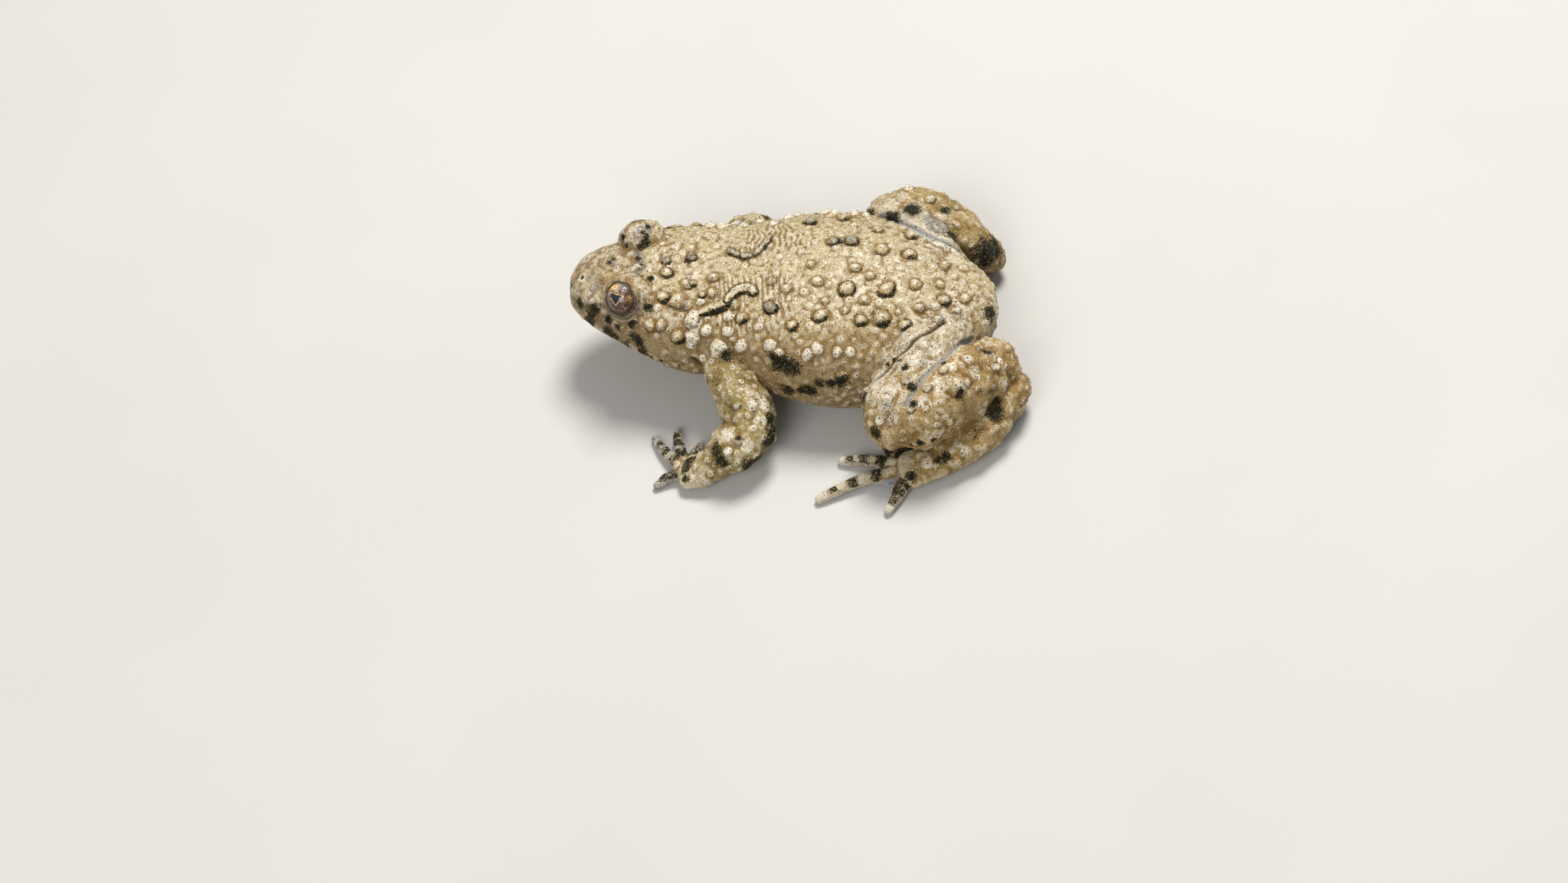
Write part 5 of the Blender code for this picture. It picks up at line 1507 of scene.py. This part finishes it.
def spine_look():
    look = Look("toad_spines")
    fine = look.noise(6.0)
    low = look.step(look.value("from_tip"), SPINE_TIP * 1.05, SPINE_BASE)
    horn = look.mix(look.step(fine, 0.45, 0.6), HORN, LIGHT_HORN)
    look.set(Base_Color=look.mix(low, horn, OCHRE), Roughness=0.4)
    look.set(Coat_Weight=0.2, Coat_Roughness=0.3, Normal=look.bump(fine, 0.00002, 0.5))
    return look.material


def eye_look():
    look = Look("toad_eye")
    fine = look.noise(8.0, 4.0, 0.7)
    flecks = look.step(fine, 0.42, 0.6)
    copper, gold, sky_reflection = (look.mix(flecks, dim, light) for dim, light in (COPPER, GOLD, SKY_REFLECTION))
    # The iris's metals, with a painted reflection of the sky over its top.
    metal_and_reflection = look.over(copper, ((look.value("gold"), gold), (look.value("sky_reflection"), sky_reflection)))
    patches = look.step(look.noise(2.0, 2.0), 0.42, 0.6, 0.7)
    mesh = look.times(look.step(look.noise(7.0, 3.0, 0.7), 0.49, 0.55), look.minus(1.0, patches))
    mesh = look.math("MAXIMUM", mesh, look.times(look.value("gold"), look.step(fine, 0.4, 0.55)))
    lid_shade = look.value("lid_shade")
    look.set(Base_Color=look.over(IRIS_DARK, (
        (mesh, metal_and_reflection),
        (look.times(look.value("shade"), 0.75), IRIS_SHADE),
        (look.value("seam"), IRIS_SEAM),
        # Painted shade on the eyeball's edge under the lids.
        (look.times(lid_shade, 0.85), IRIS_LID_SHADE),
        (look.times(look.value("rim"), look.step(look.noise(2.2), 0.38, 0.5)), PUPIL_RIM),
        (look.value("pupil"), PUPIL_BLACK),
    )))
    look.set(Roughness=0.4, Specular_IOR_Level=0.15, Coat_Roughness=0.03, Coat_IOR=1.34)
    look.set(Normal=look.bump(fine, 0.00003, 0.4), Coat_Weight=look.step(lid_shade, 0.8, 0.1))
    return look.material


def floor_look():
    look = Look("floor")
    look.set(Base_Color=look.mix(look.noise(0.02, 3.0), FLOOR_DIM, FLOOR_LIGHT), Roughness=0.85)
    return look.material


def make_camera():
    e, a, r = (math.radians(CAMERA[key]) for key in ("elevation", "azimuth", "roll"))
    back = np.array([math.sin(a) * math.cos(e), -math.cos(a) * math.cos(e), math.sin(e)])
    right = unit(np.cross(-back, [0, 0, 1]))
    up = np.cross(right, -back)
    right, up = (math.cos(r) * right + math.sin(r) * up, math.cos(r) * up - math.sin(r) * right)
    place = right * CAMERA["across"] + up * CAMERA["up"] + back * CAMERA["distance"] - ORIGIN
    data = bpy.data.cameras.new("camera")
    data.sensor_width = SENSOR
    data.lens = SENSOR * CAMERA["focal"] / PICTURE_WIDTH
    data.clip_start = 0.001
    camera = add_object("camera", data)
    turn = Matrix(np.column_stack([right, up, back]).tolist()).to_4x4()
    camera.matrix_world = Matrix.Translation(Vector(place) * MM) @ turn
    bpy.context.scene.camera = camera


def make_stage():
    """The floor, the soft round lights that point at the toad's middle, and the world."""
    corners = [(x * FLOOR_REACH, y * FLOOR_REACH, 0) for x, y in ((-1, -1), (1, -1), (1, 1), (-1, 1))]
    floor = object_from("floor", corners, [(0, 1, 2, 3)])
    floor.data.materials.append(floor_look())
    for name, spot, size, power, colour in LIGHTS:
        light = bpy.data.lights.new(name, "AREA")
        light.shape, light.size, light.energy, light.color = "DISK", size, power, colour
        made = add_object(name, light)
        made.location = spot
        made.rotation_euler = (Vector(LIT_PLACE) - Vector(spot)).to_track_quat("-Z", "Y").to_euler()
    world = bpy.data.worlds.new("world")
    world.use_nodes = True
    world.node_tree.nodes["Background"].inputs["Color"].default_value = (*WORLD_COLOUR, 1.0)
    world.node_tree.nodes["Background"].inputs["Strength"].default_value = WORLD_STRENGTH
    bpy.context.scene.world = world
    bpy.context.scene.view_settings.view_transform = "Standard"


def place(made, material, slot):
    """Moves a finished piece from the design's frame to the CAD's, and gives it its look."""
    made.data.transform(Matrix.Translation(-Vector(ORIGIN) * MM))
    made.data.materials.clear()
    made.data.materials.append(material)
    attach(made, "root")


def main():
    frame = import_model()
    cad_box = [list(map(float, corner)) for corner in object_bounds()]
    make_camera()
    make_stage()
    skin, *spines = make_skin(*cad_box)
    spines = make_spines(*spines)
    place(skin, skin_look(), "back_skin")
    place(spines, spine_look(), "back_skin")
    look = eye_look()
    for side in EYES:
        eye = make_eye(side)
        place(eye, look, "eye")
        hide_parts(f"eye_{side}")
    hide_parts(*[name for name in frame["nodes"] if not name.startswith("eye_")])


main()
